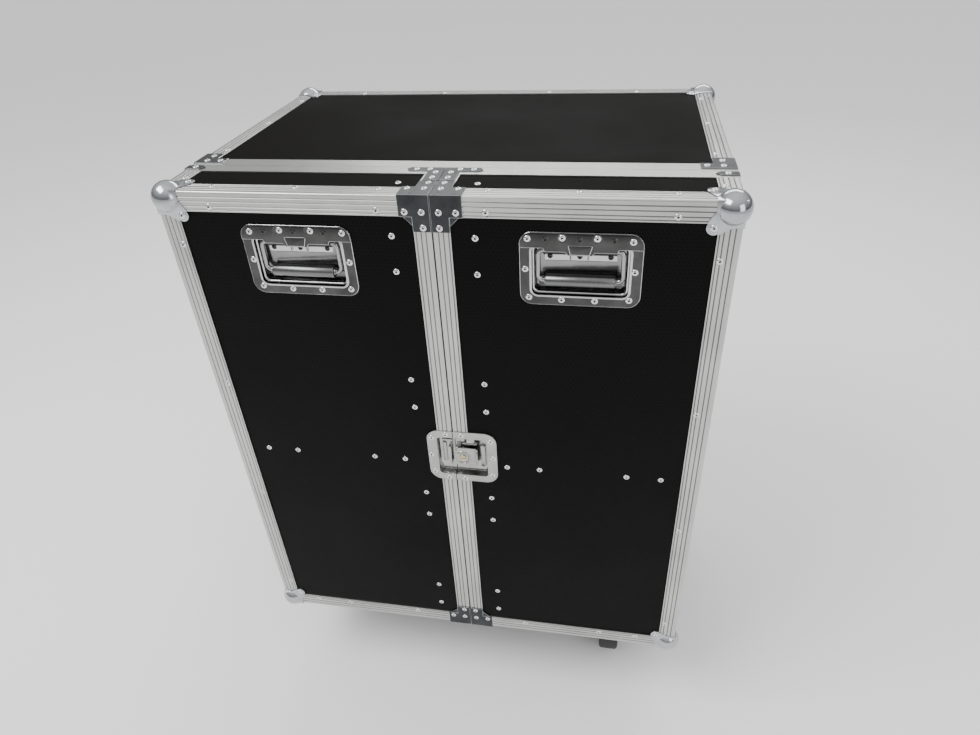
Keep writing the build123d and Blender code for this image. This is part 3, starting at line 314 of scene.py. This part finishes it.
def paint_bars(obj):
    """Gives each face of a bar the aluminium that is drawn along the bar, and the sides of its
    grooves a darker copy as painted shade.
    """
    obj.data.materials.clear()
    for material in alu + groove_shade_alu:
        obj.data.materials.append(material)
    for group in islands(obj.data):
        corners = [obj.data.vertices[v].co for p in group for v in p.vertices]
        size = [max(c[i] for c in corners) - min(c[i] for c in corners) for i in range(3)]
        along = size.index(max(size))
        for polygon in group:
            # groove sides take the darker copy: painted shade
            polygon.material_index = along + len(alu) if in_groove(polygon.normal) else along


def paint_faces(obj, material, wanted):
    """Gives a second material to the faces whose centre is wanted."""
    obj.data.materials.append(material)
    index = len(obj.data.materials) - 1
    for polygon in obj.data.polygons:
        if wanted(polygon.center):
            polygon.material_index = index


def soften_edges(obj, width, edge_highlight=None):
    """Welds a CAD mesh and rounds its sharp edges, in a material of their own if one is given, which
    then paints a highlight along them.
    """
    weld = obj.modifiers.new("weld", "WELD")
    weld.merge_threshold = 2e-6
    bevel = obj.modifiers.new("soft_edges", "BEVEL")
    bevel.width, bevel.segments = width, 2
    bevel.limit_method, bevel.angle_limit = "ANGLE", math.radians(40)
    if edge_highlight:
        obj.data.materials.append(edge_highlight)
        bevel.material = len(obj.data.materials) - 1


slots = {s["node"]: s["material_slot"] for s in frame["record"]["subparts"]}
for name, obj in nodes.items():
    if slots[name] == "edge_aluminium":
        paint_bars(obj)
        continue
    obj.data.materials.clear()
    obj.data.materials.append(slot_materials[slots[name]])
for side in ("left", "right"):
    nodes[f"{side}_door_front_panel"].data.materials[0] = black_comb

# the wheels' cores, inside the tyres
tyre_depth = 0.0138
for name in nodes:
    if name.startswith("caster_wheel"):
        low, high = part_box(name)
        hub = (low + high) / 2
        core_radius = (high.z - low.z) / 2 - tyre_depth

        def on_core(c):
            return math.hypot(c.y - hub.y, c.z - hub.z) < core_radius

        paint_faces(nodes[name], core_grey, on_core)

# the latch's brass screw, which stands in front of its rotor
screw_low, screw_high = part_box("latch_rotor")
screw_z = (screw_low.z + screw_high.z) / 2
screw_inset, screw_head, screw_radius = 0.012, 0.0017, 0.0057
screw_x = screw_high.x - screw_inset


def on_screw(c):
    near_axis = math.hypot(c.x - screw_x, c.z - screw_z) < screw_radius
    return near_axis and c.y < screw_low.y + screw_head


paint_faces(nodes["latch_rotor"], brass, on_screw)

# widths of the rounded edges, in metres
highlight_edge, folded_edge, thin_edge, thick_edge = 0.0005, 0.0004, 0.00015, 0.0006
for name, obj in nodes.items():
    if name.endswith("braces"):
        # the braces' rounded edges take the brighter corner zinc: painted highlight along edges and
        # folds
        soften_edges(obj, highlight_edge, corner_zinc)
    elif name.endswith(("hinge_leaves", "brackets")) or name.startswith("caster_fork"):
        soften_edges(obj, folded_edge)
    elif name in ("latch_wing", "latch_hook", "latch_rotor"):
        soften_edges(obj, thin_edge)
    elif name.startswith("brake_pedal") or name in ("caster_plates", "caster_bolts"):
        soften_edges(obj, thick_edge)

# ---------------------------------------------------------------- building pieces

MM = 0.001


class Seat:
    """A place on the object: an origin, u and v along the surface and n out of it."""

    def __init__(self, origin, u, v):
        self.origin, self.u, self.v = Vector(origin), Vector(u), Vector(v)
        self.n = self.u.cross(self.v)

    def at(self, u, v, n=0.0):
        return self.origin + (self.u * u + self.v * v + self.n * n) * MM

    def shifted(self, u, v, n=0.0):
        return Seat(self.at(u, v, n), self.u, self.v)


class Builder:
    """Collects faces of several materials into one mesh."""

    def __init__(self, name, body, materials):
        self.name, self.body, self.materials = name, body, materials
        self.bm = bmesh.new()

    def face(self, points, material=0):
        made = self.bm.faces.new([self.bm.verts.new(p) for p in points])
        made.material_index = material

    def skin(self, rings, material=0, closed=True, capped=False):
        """Quads between rings of points, each ring as long as the others."""
        made = [[self.bm.verts.new(p) for p in ring] for ring in rings]
        count = len(made[0])
        span = count if closed else count - 1
        for near, far in zip(made, made[1:]):
            for i in range(span):
                j = (i + 1) % count
                quad = self.bm.faces.new((near[i], near[j], far[j], far[i]))
                quad.material_index = material
        if capped:
            for ring in (made[0][::-1], made[-1]):
                self.bm.faces.new(ring).material_index = material

    def finish(self, replaced=(), slot=None, sharp=35.0):
        """Makes the object; edges bent by more than sharp degrees stay sharp."""
        bmesh.ops.remove_doubles(self.bm, verts=self.bm.verts, dist=2e-6)
        bmesh.ops.recalc_face_normals(self.bm, faces=self.bm.faces)
        for face in self.bm.faces:
            face.smooth = True
        limit = math.radians(sharp)
        for edge in self.bm.edges:
            edge.smooth = len(edge.link_faces) == 2 and edge.calc_face_angle(0) < limit
        mesh = bpy.data.meshes.new(self.name)
        self.bm.to_mesh(mesh)
        self.bm.free()
        for material in self.materials:
            mesh.materials.append(material)
        obj = bpy.data.objects.new(self.name, mesh)
        bpy.context.scene.collection.objects.link(obj)
        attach(obj, self.body)
        if replaced:
            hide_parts(*replaced)
        return obj


def rounded(width, height, radius, rise=0.0, steps=8):
    """Outline of a rounded rectangle, anticlockwise, with the same count for any size."""
    points = []
    for index, (su, sv) in enumerate(((1, 1), (-1, 1), (-1, -1), (1, -1))):
        for step in range(steps + 1):
            angle = math.radians(90 * index + 90 * step / steps)
            points.append(
                (
                    su * (width / 2 - radius) + radius * math.cos(angle),
                    rise + sv * (height / 2 - radius) + radius * math.sin(angle),
                )
            )
    return points


def softened(points, radius, steps=6):
    """A polygon with its corners rounded; a corner may carry a radius of its own."""
    result = []
    count = len(points)
    for i in range(count):
        here = Vector(points[i][:2])
        before, after = Vector(points[i - 1][:2]), Vector(points[(i + 1) % count][:2])
        own = points[i][2] if len(points[i]) > 2 else radius
        a, b = (before - here).normalized(), (after - here).normalized()
        angle = a.angle(b)
        if own <= 0 or angle > math.radians(178):
            result.append(tuple(here))
            continue
        reach = own / math.tan(angle / 2)
        limit = 0.49 * min((before - here).length, (after - here).length)
        if reach > limit:
            reach, own = limit, limit * math.tan(angle / 2)
        centre = here + (a + b).normalized() * (own / math.sin(angle / 2))
        start, end = here + a * reach, here + b * reach
        first = math.atan2(*(start - centre).yx)
        turn = (math.atan2(*(end - centre).yx) - first + math.pi) % (2 * math.pi) - math.pi
        for step in range(steps + 1):
            angle = first + turn * step / steps
            result.append((centre.x + own * math.cos(angle), centre.y + own * math.sin(angle)))
    return result


def shrunk(points, by):
    """The outline moved inwards by a distance; points run anticlockwise."""
    result = []
    count = len(points)
    for i in range(count):
        here = Vector(points[i])
        a, b = here - Vector(points[i - 1]), Vector(points[(i + 1) % count]) - here
        if a.length < 1e-6 or b.length < 1e-6:
            a = b = a if a.length > b.length else b
        n1, n2 = Vector((-a.y, a.x)).normalized(), Vector((-b.y, b.x)).normalized()
        n = n1 + n2
        n = n.normalized() * (by / max(0.5, n.normalized().dot(n1)))
        result.append(tuple(here + n))
    return result


def disc(u, v, radius, steps=30):
    """Outline of a circle, anticlockwise."""
    angles = [2 * math.pi * step / steps for step in range(steps)]
    return [(u + radius * math.cos(a), v + radius * math.sin(a)) for a in angles]


def area(points):
    return sum(p[0] * q[1] - q[0] * p[1] for p, q in zip(points, points[1:] + points[:1])) / 2


def plate(builder, seat, outline, low, high, edge=0.35, edge_material=0):
    """A flat plate with a rounded upper edge, from its outline on the seat."""
    if area(outline) < 0:
        outline = outline[::-1]
    rings = [(0.0, low), (0.0, high - edge), (edge * 0.3, high - edge * 0.3), (edge, high)]
    made = [[seat.at(u, v, n) for u, v in shrunk(outline, by)] for by, n in rings]
    builder.skin(made, edge_material)
    builder.face(made[-1])


def lathe(builder, seat, profile, segments, materials=None, turn=0.0):
    """Turns a profile of (radius, height) about the seat's n."""
    angles = [turn + 2 * math.pi * i / segments for i in range(segments)]
    rings = []
    for radius, height in profile:
        rings.append([seat.at(radius * math.cos(a), radius * math.sin(a), height) for a in angles])
    materials = materials or [0] * (len(rings) - 1)
    for near, far, material in zip(rings, rings[1:], materials):
        builder.skin([near, far], material)
    if profile[-1][0] > 0.01:
        builder.face(rings[-1], materials[-1])


def tube(builder, path, radius, closed=False, segments=12):
    """A round rod along a path of points."""
    count = len(path)
    angles = [2 * math.pi * k / segments for k in range(segments)]
    rings = []
    normal = None
    for i in range(count):
        ahead = path[(i + 1) % count] if closed or i + 1 < count else path[i]
        behind = path[i - 1] if closed or i > 0 else path[i]
        along = (ahead - behind).normalized()
        if normal is None:
            normal = along.orthogonal().normalized()
        normal = (normal - along * normal.dot(along)).normalized()
        other = along.cross(normal)
        spokes = [normal * math.cos(a) + other * math.sin(a) for a in angles]
        rings.append([path[i] + spoke * radius * MM for spoke in spokes])
    if closed:
        rings.append(rings[0])
    builder.skin(rings, capped=not closed)


def block(builder, seat, us, vs, low, high, corner, edge, edge_material=0):
    """A plate that is a rectangle with rounded corners, from its spans along u and v."""
    outline = [(us[0], vs[0]), (us[1], vs[0]), (us[1], vs[1]), (us[0], vs[1])]
    plate(builder, seat, softened(outline, corner), low, high, edge, edge_material)


def loft_rectangles(builder, seat, levels, materials):
    """Skins rounded rectangles (width, height, radius, rise, level) and closes the last one.
    Each band between two of them has its material, and the closing face has the last band's."""
    rings = []
    for width, height, radius, rise, level in levels:
        rings.append([seat.at(u, v, level) for u, v in rounded(width, height, radius, rise)])
    for near, far, material in zip(rings, rings[1:], materials):
        builder.skin([near, far], material)
    builder.face(rings[-1], materials[-1])


# ---------------------------------------------------------------- rivets

rivet_profile = [
    (4.65, 0.0),
    (4.62, 0.3),
    (4.4, 0.62),
    (3.95, 0.98),
    (3.35, 1.28),
    (2.7, 1.5),
    (2.15, 1.62),
    (1.78, 1.62),
    (1.55, 1.45),
    (1.45, 1.1),
    (1.35, 0.75),
    (0.02, 0.72),
]
# the last three bands, down into the dimple, take the near-black material: painted shade
rivet_materials = [0] * 8 + [1] * 3
rivet_turn = 0.37  # radians from one rivet's mesh to the next
weld_grid = 0.000005  # corners of a CAD solid this close, in metres, are one


def welded_islands(mesh):
    """Corner lists of the separate solids of a CAD node, whose faces don't share vertices."""
    places = {}
    ids = []
    for vertex in mesh.vertices:
        place = tuple(round(c / weld_grid) for c in vertex.co)
        ids.append(places.setdefault(place, len(places)))
    groups = Groups(len(places))
    for polygon in mesh.polygons:
        groups.join([ids[v] for v in polygon.vertices])
    found = {}
    for number, vertex in zip(ids, mesh.vertices):
        found.setdefault(groups.root(number), []).append(vertex.co)
    return list(found.values())


def rivet_seats(node):
    """Where each rivet of a CAD node sits, and the way it faces."""
    seats = []
    for corners in welded_islands(nodes[node].data):
        low = [min(c[i] for c in corners) for i in range(3)]
        high = [max(c[i] for c in corners) for i in range(3)]
        size = [b - a for a, b in zip(low, high)]
        axis = size.index(min(size))
        middle = Vector([(a + b) / 2 for a, b in zip(low, high)])
        others = [i for i in range(3) if i != axis]

        def width(level):
            near = [c for c in corners if abs(c[axis] - level) < 1e-5]
            return max((math.hypot(*(c[i] - middle[i] for i in others)) for c in near), default=0)

        sign = 1.0 if width(low[axis]) > width(high[axis]) else -1.0
        normal = Vector([sign if i == axis else 0.0 for i in range(3)])
        origin = middle.copy()
        origin[axis] = low[axis] if sign > 0 else high[axis]
        u = Vector((1, 0, 0)) if axis != 0 else Vector((0, 1, 0))
        v = normal.cross(u)
        seats.append(Seat(origin, u, v))
    return seats


for number, node in enumerate(("left_door_rivets", "right_door_rivets", "body_rivets")):
    heads = Builder(f"{node}_heads", node_body[node], [rivet_zinc, hollow_shade_dark])
    for count, seat in enumerate(rivet_seats(node)):
        lathe(heads, seat, rivet_profile, 24, rivet_materials, rivet_turn * count + number)
    heads.finish([node], "rivet_steel", sharp=50.0)

# ---------------------------------------------------------------- ball corners

ball_radius, ball_inset = 22.9, 13.0
ball_rings, ball_turns = 28, 56
corner_plate = softened(
    [
        (-1.2, -1.2, 0),
        (34, -1.2, 0),
        (34, 13, 4),
        (44, 29, 0),
        (31, 31, 2),
        (29, 44, 0),
        (13, 34, 4),
        (-1.2, 34, 0),
    ],
    1.0,
)
corner_ear = disc(34.5, 34.5, 9.5)
corner_bridge = softened([(27, 29, 0), (29, 27, 0), (40, 28, 2), (40, 40, 4), (28, 40, 2)], 2.0)


def corner_piece(number, node, corner, directions, body):
    """Ball and three plates with an ear each; directions point from the corner into the case."""
    builder = Builder(f"{node}_shell_{number}", body, [corner_zinc])
    centre = Vector(corner) + sum((d * ball_inset * MM for d in directions), Vector())

    def on_ball(polar, azimuth):
        across = directions[0] * math.cos(azimuth) + directions[1] * math.sin(azimuth)
        spoke = across * math.sin(polar) + directions[2] * math.cos(polar)
        return centre + spoke * ball_radius * MM

    def hidden(point):
        return min((point - Vector(corner)).dot(d) / MM for d in directions) > 0.6

    rings = []
    for i in range(1, ball_rings):
        polar = math.pi * i / ball_rings
        rings.append([on_ball(polar, 2 * math.pi * k / ball_turns) for k in range(ball_turns)])
    faces = []
    for near, far in zip(rings, rings[1:]):
        for k in range(ball_turns):
            ahead = (k + 1) % ball_turns
            faces.append([near[k], near[ahead], far[ahead], far[k]])
    for pole, ring in ((on_ball(0, 0), rings[0]), (on_ball(math.pi, 0), rings[-1])):
        faces += [[pole, ring[k], ring[(k + 1) % ball_turns]] for k in range(ball_turns)]
    for face in faces:
        if not all(hidden(p) for p in face):
            builder.face(face)
    for first in range(3):
        u, v = directions[first], directions[(first + 1) % 3]
        n = -directions[(first + 2) % 3]
        if u.cross(v).dot(n) < 0:
            u, v = v, u
        seat = Seat(corner, u, v)
        plate(builder, seat, corner_plate, 0.0, 1.4, 0.5)
        plate(builder, seat, corner_ear, -1.8, 0.9, 0.6)
        plate(builder, seat, corner_bridge, -1.8, 1.35, 0.6)
    builder.finish([node], "corner_steel", sharp=40.0)


case_low, case_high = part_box("body_edge_angles")
door_low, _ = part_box("right_door_edge_angles")
half_width = case_high.x
corners = []
for side, hand in ((1, "right"), (-1, "left")):
    for z, down in ((case_high.z, -1), (case_low.z, 1)):
        for node, body, y, inward in (
            (f"{hand}_door_ball_corners", f"{hand}_door", door_low.y, 1),
            ("body_ball_corners", "case_body", case_high.y, -1),
        ):
            directions = [Vector((-side, 0, 0)), Vector((0, inward, 0)), Vector((0, 0, down))]
            corners.append((node, (side * half_width, y, z), directions, body))
for number, corner in enumerate(corners):
    corner_piece(number, *corner)

# ---------------------------------------------------------------- handles

# in mm on the handle's seat: u along the rod, v upwards, n out of the board
plate_width, plate_height, plate_corner = 160.0, 105.8, 17.0
band_v, leaf_face = 31.0, 2.4
rod_v, rod_n, rod_radius = 26.0, -5.2, 3.5
barrel_half, barrel_radius = 47.0, 5.25
cover_n = -8.95
bail_width, bail_corner = 112.0, 8.0
grip_start, grip_v = -46.0, -18.0
mouth_drop = -1.6

# width, height, corner radius, rise and level of the dish from its flange's rim to its floor
dish_levels = [
    (plate_width, plate_height, plate_corner, 0, 0.0),
    (plate_width, plate_height, plate_corner, 0, 0.75),
    (159.3, 105.1, 16.6, 0, 1.1),
    (158.6, 104.4, 16.3, 0, 1.2),
    (133.5, 78.1, 11.5, mouth_drop, 1.2),
    (132.3, 76.9, 10.9, mouth_drop, 1.45),
    (130.6, 75.2, 10.0, mouth_drop, 2.05),
    (129.0, 73.6, 9.2, mouth_drop, 2.2),
    (127.6, 72.2, 8.5, mouth_drop, 1.9),
    (126.9, 71.5, 8.1, mouth_drop, 1.1),
    (126.3, 70.9, 8.0, mouth_drop, -2.6),
    (125.6, 70.2, 7.8, mouth_drop, -3.3),
    (122.8, 67.4, 7.0, mouth_drop, -3.7),
    (121.6, 66.2, 6.7, mouth_drop, -4.4),
    (119.6, 64.2, 6.6, mouth_drop, -14.6),
    (118.6, 63.2, 6.4, mouth_drop, -16.2),
    (116.0, 60.6, 5.6, mouth_drop, -17.2),
]
FLANGE, BORE_SHADE, PAINTED_HIGHLIGHT, PAN = range(4)
# the floor bands take the lighter pan steel, a painted reflection
handle_materials = [handle_steel, hollow_shade_dark, highlight_steel, pan_reflection_steel]
# the bright bands on the dish's rims and beads are painted highlight
dish_bands = [PAINTED_HIGHLIGHT] * 3 + [FLANGE] + [PAINTED_HIGHLIGHT] * 5 + [FLANGE] + [PAINTED_HIGHLIGHT] * 3 + [PAN] * 3


def band_outline():
    """The hinge leaf: the plate's upper band, with the strip that rolls round the rod."""
    upper = [p for p in rounded(plate_width, plate_height, plate_corner) if p[1] > band_v]
    half = plate_width / 2
    lower = softened(
        [
            (-half, band_v, 0),
            (-48.6, band_v, 1.5),
            (-barrel_half, 26.2, 0.8),
            (-20, 26.2, 2),
            (-16.5, 21.4, 1.5),
            (14.5, 21.4, 1.5),
            (18, 26.2, 2),
            (barrel_half, 26.2, 0.8),
            (48.6, band_v, 1.5),
            (half, band_v, 0),
            (half, 40, 0),
            (-half, 40, 0),
        ],
        1.5,
    )
    lower = [p for p in lower if p[1] < band_v + 0.5]
    return lower[-1:] + upper + lower[:-1]


def dimple(builder, seat, radius, height):
    """A pressed tubular boss with its bore in a dark material as painted shade, seen as a ring."""
    profile = [
        (radius + 0.9, 0.0),
        (radius + 0.35, 0.18),
        (radius, 0.55),
        (radius - 0.25, height - 0.35),
        (radius - 0.75, height),
        (radius - 1.25, height - 0.12),
        (radius - 1.5, height - 0.7),
        (0.03, height - 0.95),
    ]
    lathe(builder, seat, profile, 24, [FLANGE] * 6 + [BORE_SHADE])


def handle_leaf(builder, seat):
    """Leaf with its tab, bosses and washers, rolled round the rod and folded into a ribbed cover."""
    # rounded edges of the leaf and its tab in bright steel: painted highlight
    plate(builder, seat, band_outline(), 1.2, leaf_face, 0.6, PAINTED_HIGHLIGHT)
    tab = softened([(-17, 36.5), (-13.5, 22.6), (12, 22.6), (16, 36.5)], 1.6)
    plate(builder, seat, tab, leaf_face - 0.1, 3.35, 1.0, PAINTED_HIGHLIGHT)
    for u in (-45.5, -1.5, 42.5):
        dimple(builder, seat.shifted(u, 44.2, leaf_face), 3.3, 0.95)
    washer = [(7.1, 0.0), (6.95, 0.35), (6.5, 0.5), (5.9, 0.42), (5.6, 0.1)]
    for u in (-24.0, 21.0):
        lathe(builder, seat.shifted(u, 46.0, leaf_face), washer, 32)
    profile = [(31.4, 1.3), (29.5, 1.15), (27.6, 0.6)]
    for degrees in range(0, 100, 9):
        angle = math.radians(degrees)
        across, out = barrel_radius * math.sin(angle), barrel_radius * math.cos(angle)
        profile.append((rod_v - across, rod_n + out))
    profile += [(20.6, -7.2), (20.2, -8.2), (19.2, -8.8), (17.5, cover_n)]
    profile += [(10.6, cover_n), (9.4, -9.15), (8.7, -9.9), (8.5, -10.45), (12.0, -10.45)]
    strips = [[seat.at(u, v, n) for u in (-barrel_half, barrel_half)] for v, n in profile]
    fold = 5
    builder.skin(strips[:-fold], closed=False)
    # the fold into the cover in bright steel: painted highlight
    builder.skin(strips[-fold - 1 :], PAINTED_HIGHLIGHT, closed=False)
    for u in (-40.4, -1.3, 38.8):
        dimple(builder, seat.shifted(u, 15.6, cover_n), 2.9, 1.5)
    for u in (-13.5, 9.5):
        # the ribs' rounded edges in bright steel: painted highlight
        block(builder, seat, (u - 1.3, u + 1.3), (11.0, 21.0), -9.2, -6.6, 1.0, 0.6, PAINTED_HIGHLIGHT)


def handle_bail(builder, seat):
    """Bent rod with a tubular grip between two collars."""
    loop = rounded(bail_width, rod_v - grip_v, bail_corner, (rod_v + grip_v) / 2, 7)
    tube(builder, [seat.at(u, v, rod_n) for u, v in loop], rod_radius, True, 16)
    start = [(3.4, 1.4), (4.6, 0.9), (5.2, 0.0), (7.4, 0.0), (8.1, 0.3), (8.5, 1.0), (8.5, 45.0)]
    end = [(8.5, 91.0), (8.1, 91.7), (7.4, 92.0), (5.2, 92.0), (4.6, 91.1), (3.4, 90.6), (0.02, 90.6)]
    grip = start + end
    grip_seat = Seat(seat.at(grip_start, grip_v, rod_n), seat.v, seat.n)
    lathe(builder, grip_seat, grip, 32, [1] * (len(grip) - 1))
    collar = [(3.5, 0.0), (5.2, 0.0), (5.6, 0.4), (5.6, 1.2), (5.2, 1.6), (3.5, 1.6)]
    for u in (-47.6, 46.0):
        lathe(builder, Seat(seat.at(u, grip_v, rod_n), seat.v, seat.n), collar, 24)


def handle(node, bail_node, seat, hand):
    """One recessed handle; returns its dish, which replaces the CAD mount."""
    name = f"{hand}_handle"
    dish = Builder(f"{name}_dish", node_body[node], handle_materials)
    loft_rectangles(dish, seat, dish_levels, dish_bands)
    finished = dish.finish(slot="handle_steel", sharp=40.0)
    leaf = Builder(f"{name}_leaf", node_body[node], handle_materials[:PAN])
    handle_leaf(leaf, seat)
    leaf.finish(slot="handle_steel", sharp=40.0)
    bail = Builder(f"{name}_bail", node_body[bail_node], [bail_rod_steel, grip_grey])
    handle_bail(bail, seat)
    bail.finish([bail_node], "bail_steel", sharp=40.0)
    return finished


def handle_seat(node, outward):
    """The seat on the board, from the CAD mount's box, out of which the leaf stands."""
    low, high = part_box(node)
    middle = (low + high) / 2
    proud = leaf_face * MM
    if outward.y:
        return Seat((middle.x, low.y + proud, middle.z), (1, 0, 0), (0, 0, 1))
    x = high.x - proud if outward.x > 0 else low.x + proud
    return Seat((x, middle.y, middle.z), (0, outward.x, 0), (0, 0, 1))


for hand in ("left", "right"):
    node = f"{hand}_door_handle_mount"
    seat = handle_seat(node, Vector((0, -1, 0)))
    dish = handle(node, f"{hand}_door_handle_bail", seat, f"{hand}_door")
    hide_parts(node)
for side, hand in ((1, "right"), (-1, "left")):
    seat = handle_seat("side_handle_mounts", Vector((side, 0, 0)))
    dish = handle("side_handle_mounts", f"{hand}_side_handle_bail", seat, f"{hand}_side")
    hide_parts("side_handle_mounts")

# ---------------------------------------------------------------- latch

latch_low, latch_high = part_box("latch_dish")
rotor_low, rotor_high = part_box("latch_rotor")
_, wing_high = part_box("latch_wing")
face_y = latch_low.y + 1.4 * MM
latch_seat = Seat((0, face_y, (latch_low.z + latch_high.z) / 2), (1, 0, 0), (0, 0, 1))
pivot_drop = -3.25
pivot_seat = latch_seat.shifted(0, pivot_drop)
flange_corner = 20.0
pan_n = -11.8
mouth_edges = {"right": 54.0, "left": -26.5}
mouth_half, mouth_rise, mouth_corner = 38.5, -0.75, 6.0


def half_loop(seam, edge, low, high, radius, steps=8):
    """Open outline from the seam, round two corners and back to the seam, in mm."""
    side = 1 if edge > seam else -1
    points = [(seam, high)]
    for start, rise in ((90, high - radius), (0, low + radius)):
        for step in range(steps + 1):
            angle = math.radians(start - 90 * step / steps)
            across = edge - side * radius * (1 - math.cos(angle))
            points.append((across, rise + radius * math.sin(angle)))
    points.append((seam, low))
    return points


def latch_half(node, hand):
    """Flange and pan of one half of the latch's dish, open along the seam between the doors."""
    low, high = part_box(node)
    side = 1 if hand == "right" else -1
    seam = (low.x if side > 0 else high.x) / MM
    edge = (high.x if side > 0 else low.x) / MM
    half = (high.z - low.z) / 2 / MM
    loops = []
    for inset, n in ((0.0, -1.7), (0.0, 0.9), (0.4, 1.25), (0.9, 1.4)):
        loops.append((edge - side * inset, half - inset, 0.0, flange_corner - inset, n))
    for outset, n in ((1.6, 1.4), (0.5, 1.0), (0.0, 0.0), (-0.3, -9.8), (-1.0, -11.2), (-2.4, pan_n)):
        mouth = mouth_edges[hand] + side * outset
        loops.append((mouth, mouth_half + outset, mouth_rise, mouth_corner + outset, n))
    rings = []
    for across, up, rise, radius, n in loops:
        outline = half_loop(seam, across, rise - up, rise + up, radius)
        rings.append([latch_seat.at(u, v, n) for u, v in outline])
    builder = Builder(f"{node}_shell", node_body[node], [latch_steel])
    builder.skin(rings, closed=False)
    builder.face(rings[-1])
    return builder


# right half: the hook's guides, a pressed channel and two raised blocks
builder = latch_half("latch_dish", "right")
for v in (15.4, -19.0):
    block(builder, pivot_seat, (1.6, 9.0), (v, v + 3.6), pan_n, -5.3, 0.8, 0.5)
for us, vs, top in (
    ((41.0, 49.5), (-27.0, 18.0), -8.8),
    ((20.0, 33.0), (24.0, 33.5), -6.4),
    ((4.0, 17.0), (24.5, 33.0), -8.0),
):
    block(builder, latch_seat, us, vs, pan_n, top, 2.6, 1.0)
builder.finish(["latch_dish"], "latch_steel", sharp=40.0)

# left half: the keeper's bridge on two legs, a pressed channel and two ribs
builder = latch_half("latch_keeper", "left")
bridge_us, bridge_half, leg = (-10.0, -6.0), 19.0, 3.0
for vs in ((bridge_half - leg, bridge_half), (-bridge_half, leg - bridge_half)):
    block(builder, pivot_seat, bridge_us, vs, pan_n, -4.0, 0.6, 0.3)
block(builder, pivot_seat, bridge_us, (-bridge_half, bridge_half), -5.0, -3.6, 1.2, 0.45)
for us, vs, top in (
    ((-21.0, -14.5), (-20.0, 20.0), -8.6),
    ((-21.0, -3.5), (24.5, 28.5), -7.4),
    ((-21.0, -3.5), (30.0, 33.0), -8.4),
):
    block(builder, latch_seat, us, vs, pan_n, top, 1.6, 1.1)
builder.finish(["latch_keeper"], "latch_steel", sharp=40.0)

# the wing's pressed ring and rolled lip stand on the CAD wing
axis_x = (rotor_low.x + rotor_high.x) / 2 / MM
wing_seat = Seat((0, face_y, (rotor_low.z + rotor_high.z) / 2), (1, 0, 0), (0, 0, 1))
bead = Builder("latch_wing_bead", "latch_wing", [latch_steel])
bead_radius, bead_sweep, bead_steps = 12.4, 128, 40
path = []
for step in range(bead_steps + 1):
    angle = math.radians(bead_sweep * (2 * step / bead_steps - 1))
    u, v = axis_x + bead_radius * math.cos(angle), bead_radius * math.sin(angle)
    path.append(wing_seat.at(u, v, -1.35))
tube(bead, path, 1.15)
lip_u = wing_high.x / MM - 3.6
tube(bead, [wing_seat.at(lip_u, v, -1.3) for v in (-16.0, -8.0, 0.0, 8.0, 16.0)], 0.9)
bead.finish(slot="latch_steel")

# ---------------------------------------------------------------- studio


def area_light(name, location, target, size, power):
    data = bpy.data.lights.new(name, "AREA")
    data.shape, data.size, data.size_y = "RECTANGLE", size[0], size[1]
    data.energy = power
    light = bpy.data.objects.new(name, data)
    bpy.context.scene.collection.objects.link(light)
    light.location = location
    light.rotation_mode = "QUATERNION"
    light.rotation_quaternion = (Vector(target) - Vector(location)).to_track_quat("-Z", "Y")


# the sky brightens from grey at the horizon to white overhead
world = bpy.data.worlds.new("studio")
bpy.context.scene.world = world
world.use_nodes = True
tree = world.node_tree
background = tree.nodes["Background"]
background.inputs["Strength"].default_value = 1.35
sky = tree.nodes.new("ShaderNodeTexCoord")
parts = tree.nodes.new("ShaderNodeSeparateXYZ")
ramp = tree.nodes.new("ShaderNodeValToRGB")
ramp.color_ramp.elements[0].position = 0.5
ramp.color_ramp.elements[0].color = (0.14, 0.14, 0.145, 1)
ramp.color_ramp.elements[1].position = 1.0
ramp.color_ramp.elements[1].color = (1.0, 1.0, 1.0, 1)
lift = tree.nodes.new("ShaderNodeMath")
lift.operation = "MULTIPLY_ADD"
lift.inputs[1].default_value = 0.5
lift.inputs[2].default_value = 0.5
tree.links.new(sky.outputs["Generated"], parts.inputs[0])
tree.links.new(parts.outputs["Z"], lift.inputs[0])
tree.links.new(lift.outputs[0], ramp.inputs[0])
tree.links.new(ramp.outputs[0], background.inputs["Color"])
area_light("key", (-1.6, -1.2, 3.2), (0, 0, 0.8), (2.2, 1.2), 85)
area_light("fill", (2.6, -2.4, 1.8), (0, 0, 0.6), (1.6, 2.0), 30)
area_light("back", (0.3, 2.4, 2.8), (0, 0, 1.0), (3.0, 0.8), 45)

floor_mesh = bpy.data.meshes.new("floor")
reach = 20.0
floor_corners = [(-reach, -reach, 0), (reach, -reach, 0), (reach, reach, 0), (-reach, reach, 0)]
floor_mesh.from_pydata(floor_corners, [], [(0, 1, 2, 3)])
floor = bpy.data.objects.new("floor", floor_mesh)
bpy.context.scene.collection.objects.link(floor)
pale = Shader("floor_pale").set(Roughness=0.9, Specular_IOR_Level=0.1)
pale.link(pale.tint(pale.noise(0.5), (0.93, 0.93, 0.93), (0.95, 0.95, 0.95)), "Base Color")
floor_mesh.materials.append(pale.material)

camera_data = bpy.data.cameras.new("camera")
camera = bpy.data.objects.new("camera", camera_data)
bpy.context.scene.collection.objects.link(camera)
camera_data.sensor_width, camera_data.lens = 36.0, 25.67
camera_data.clip_start, camera_data.clip_end = 0.05, 60.0
camera_place = (0.240, -1.104, 1.375)
forward = Vector((-0.168, 0.807, -0.567)).normalized()
near_up = Vector((-0.059, 0.566, 0.823))
right = forward.cross(near_up).normalized()
turn = Matrix((right, right.cross(forward), -forward)).transposed().to_4x4()
camera.matrix_world = Matrix.Translation(camera_place) @ turn
bpy.context.scene.camera = camera
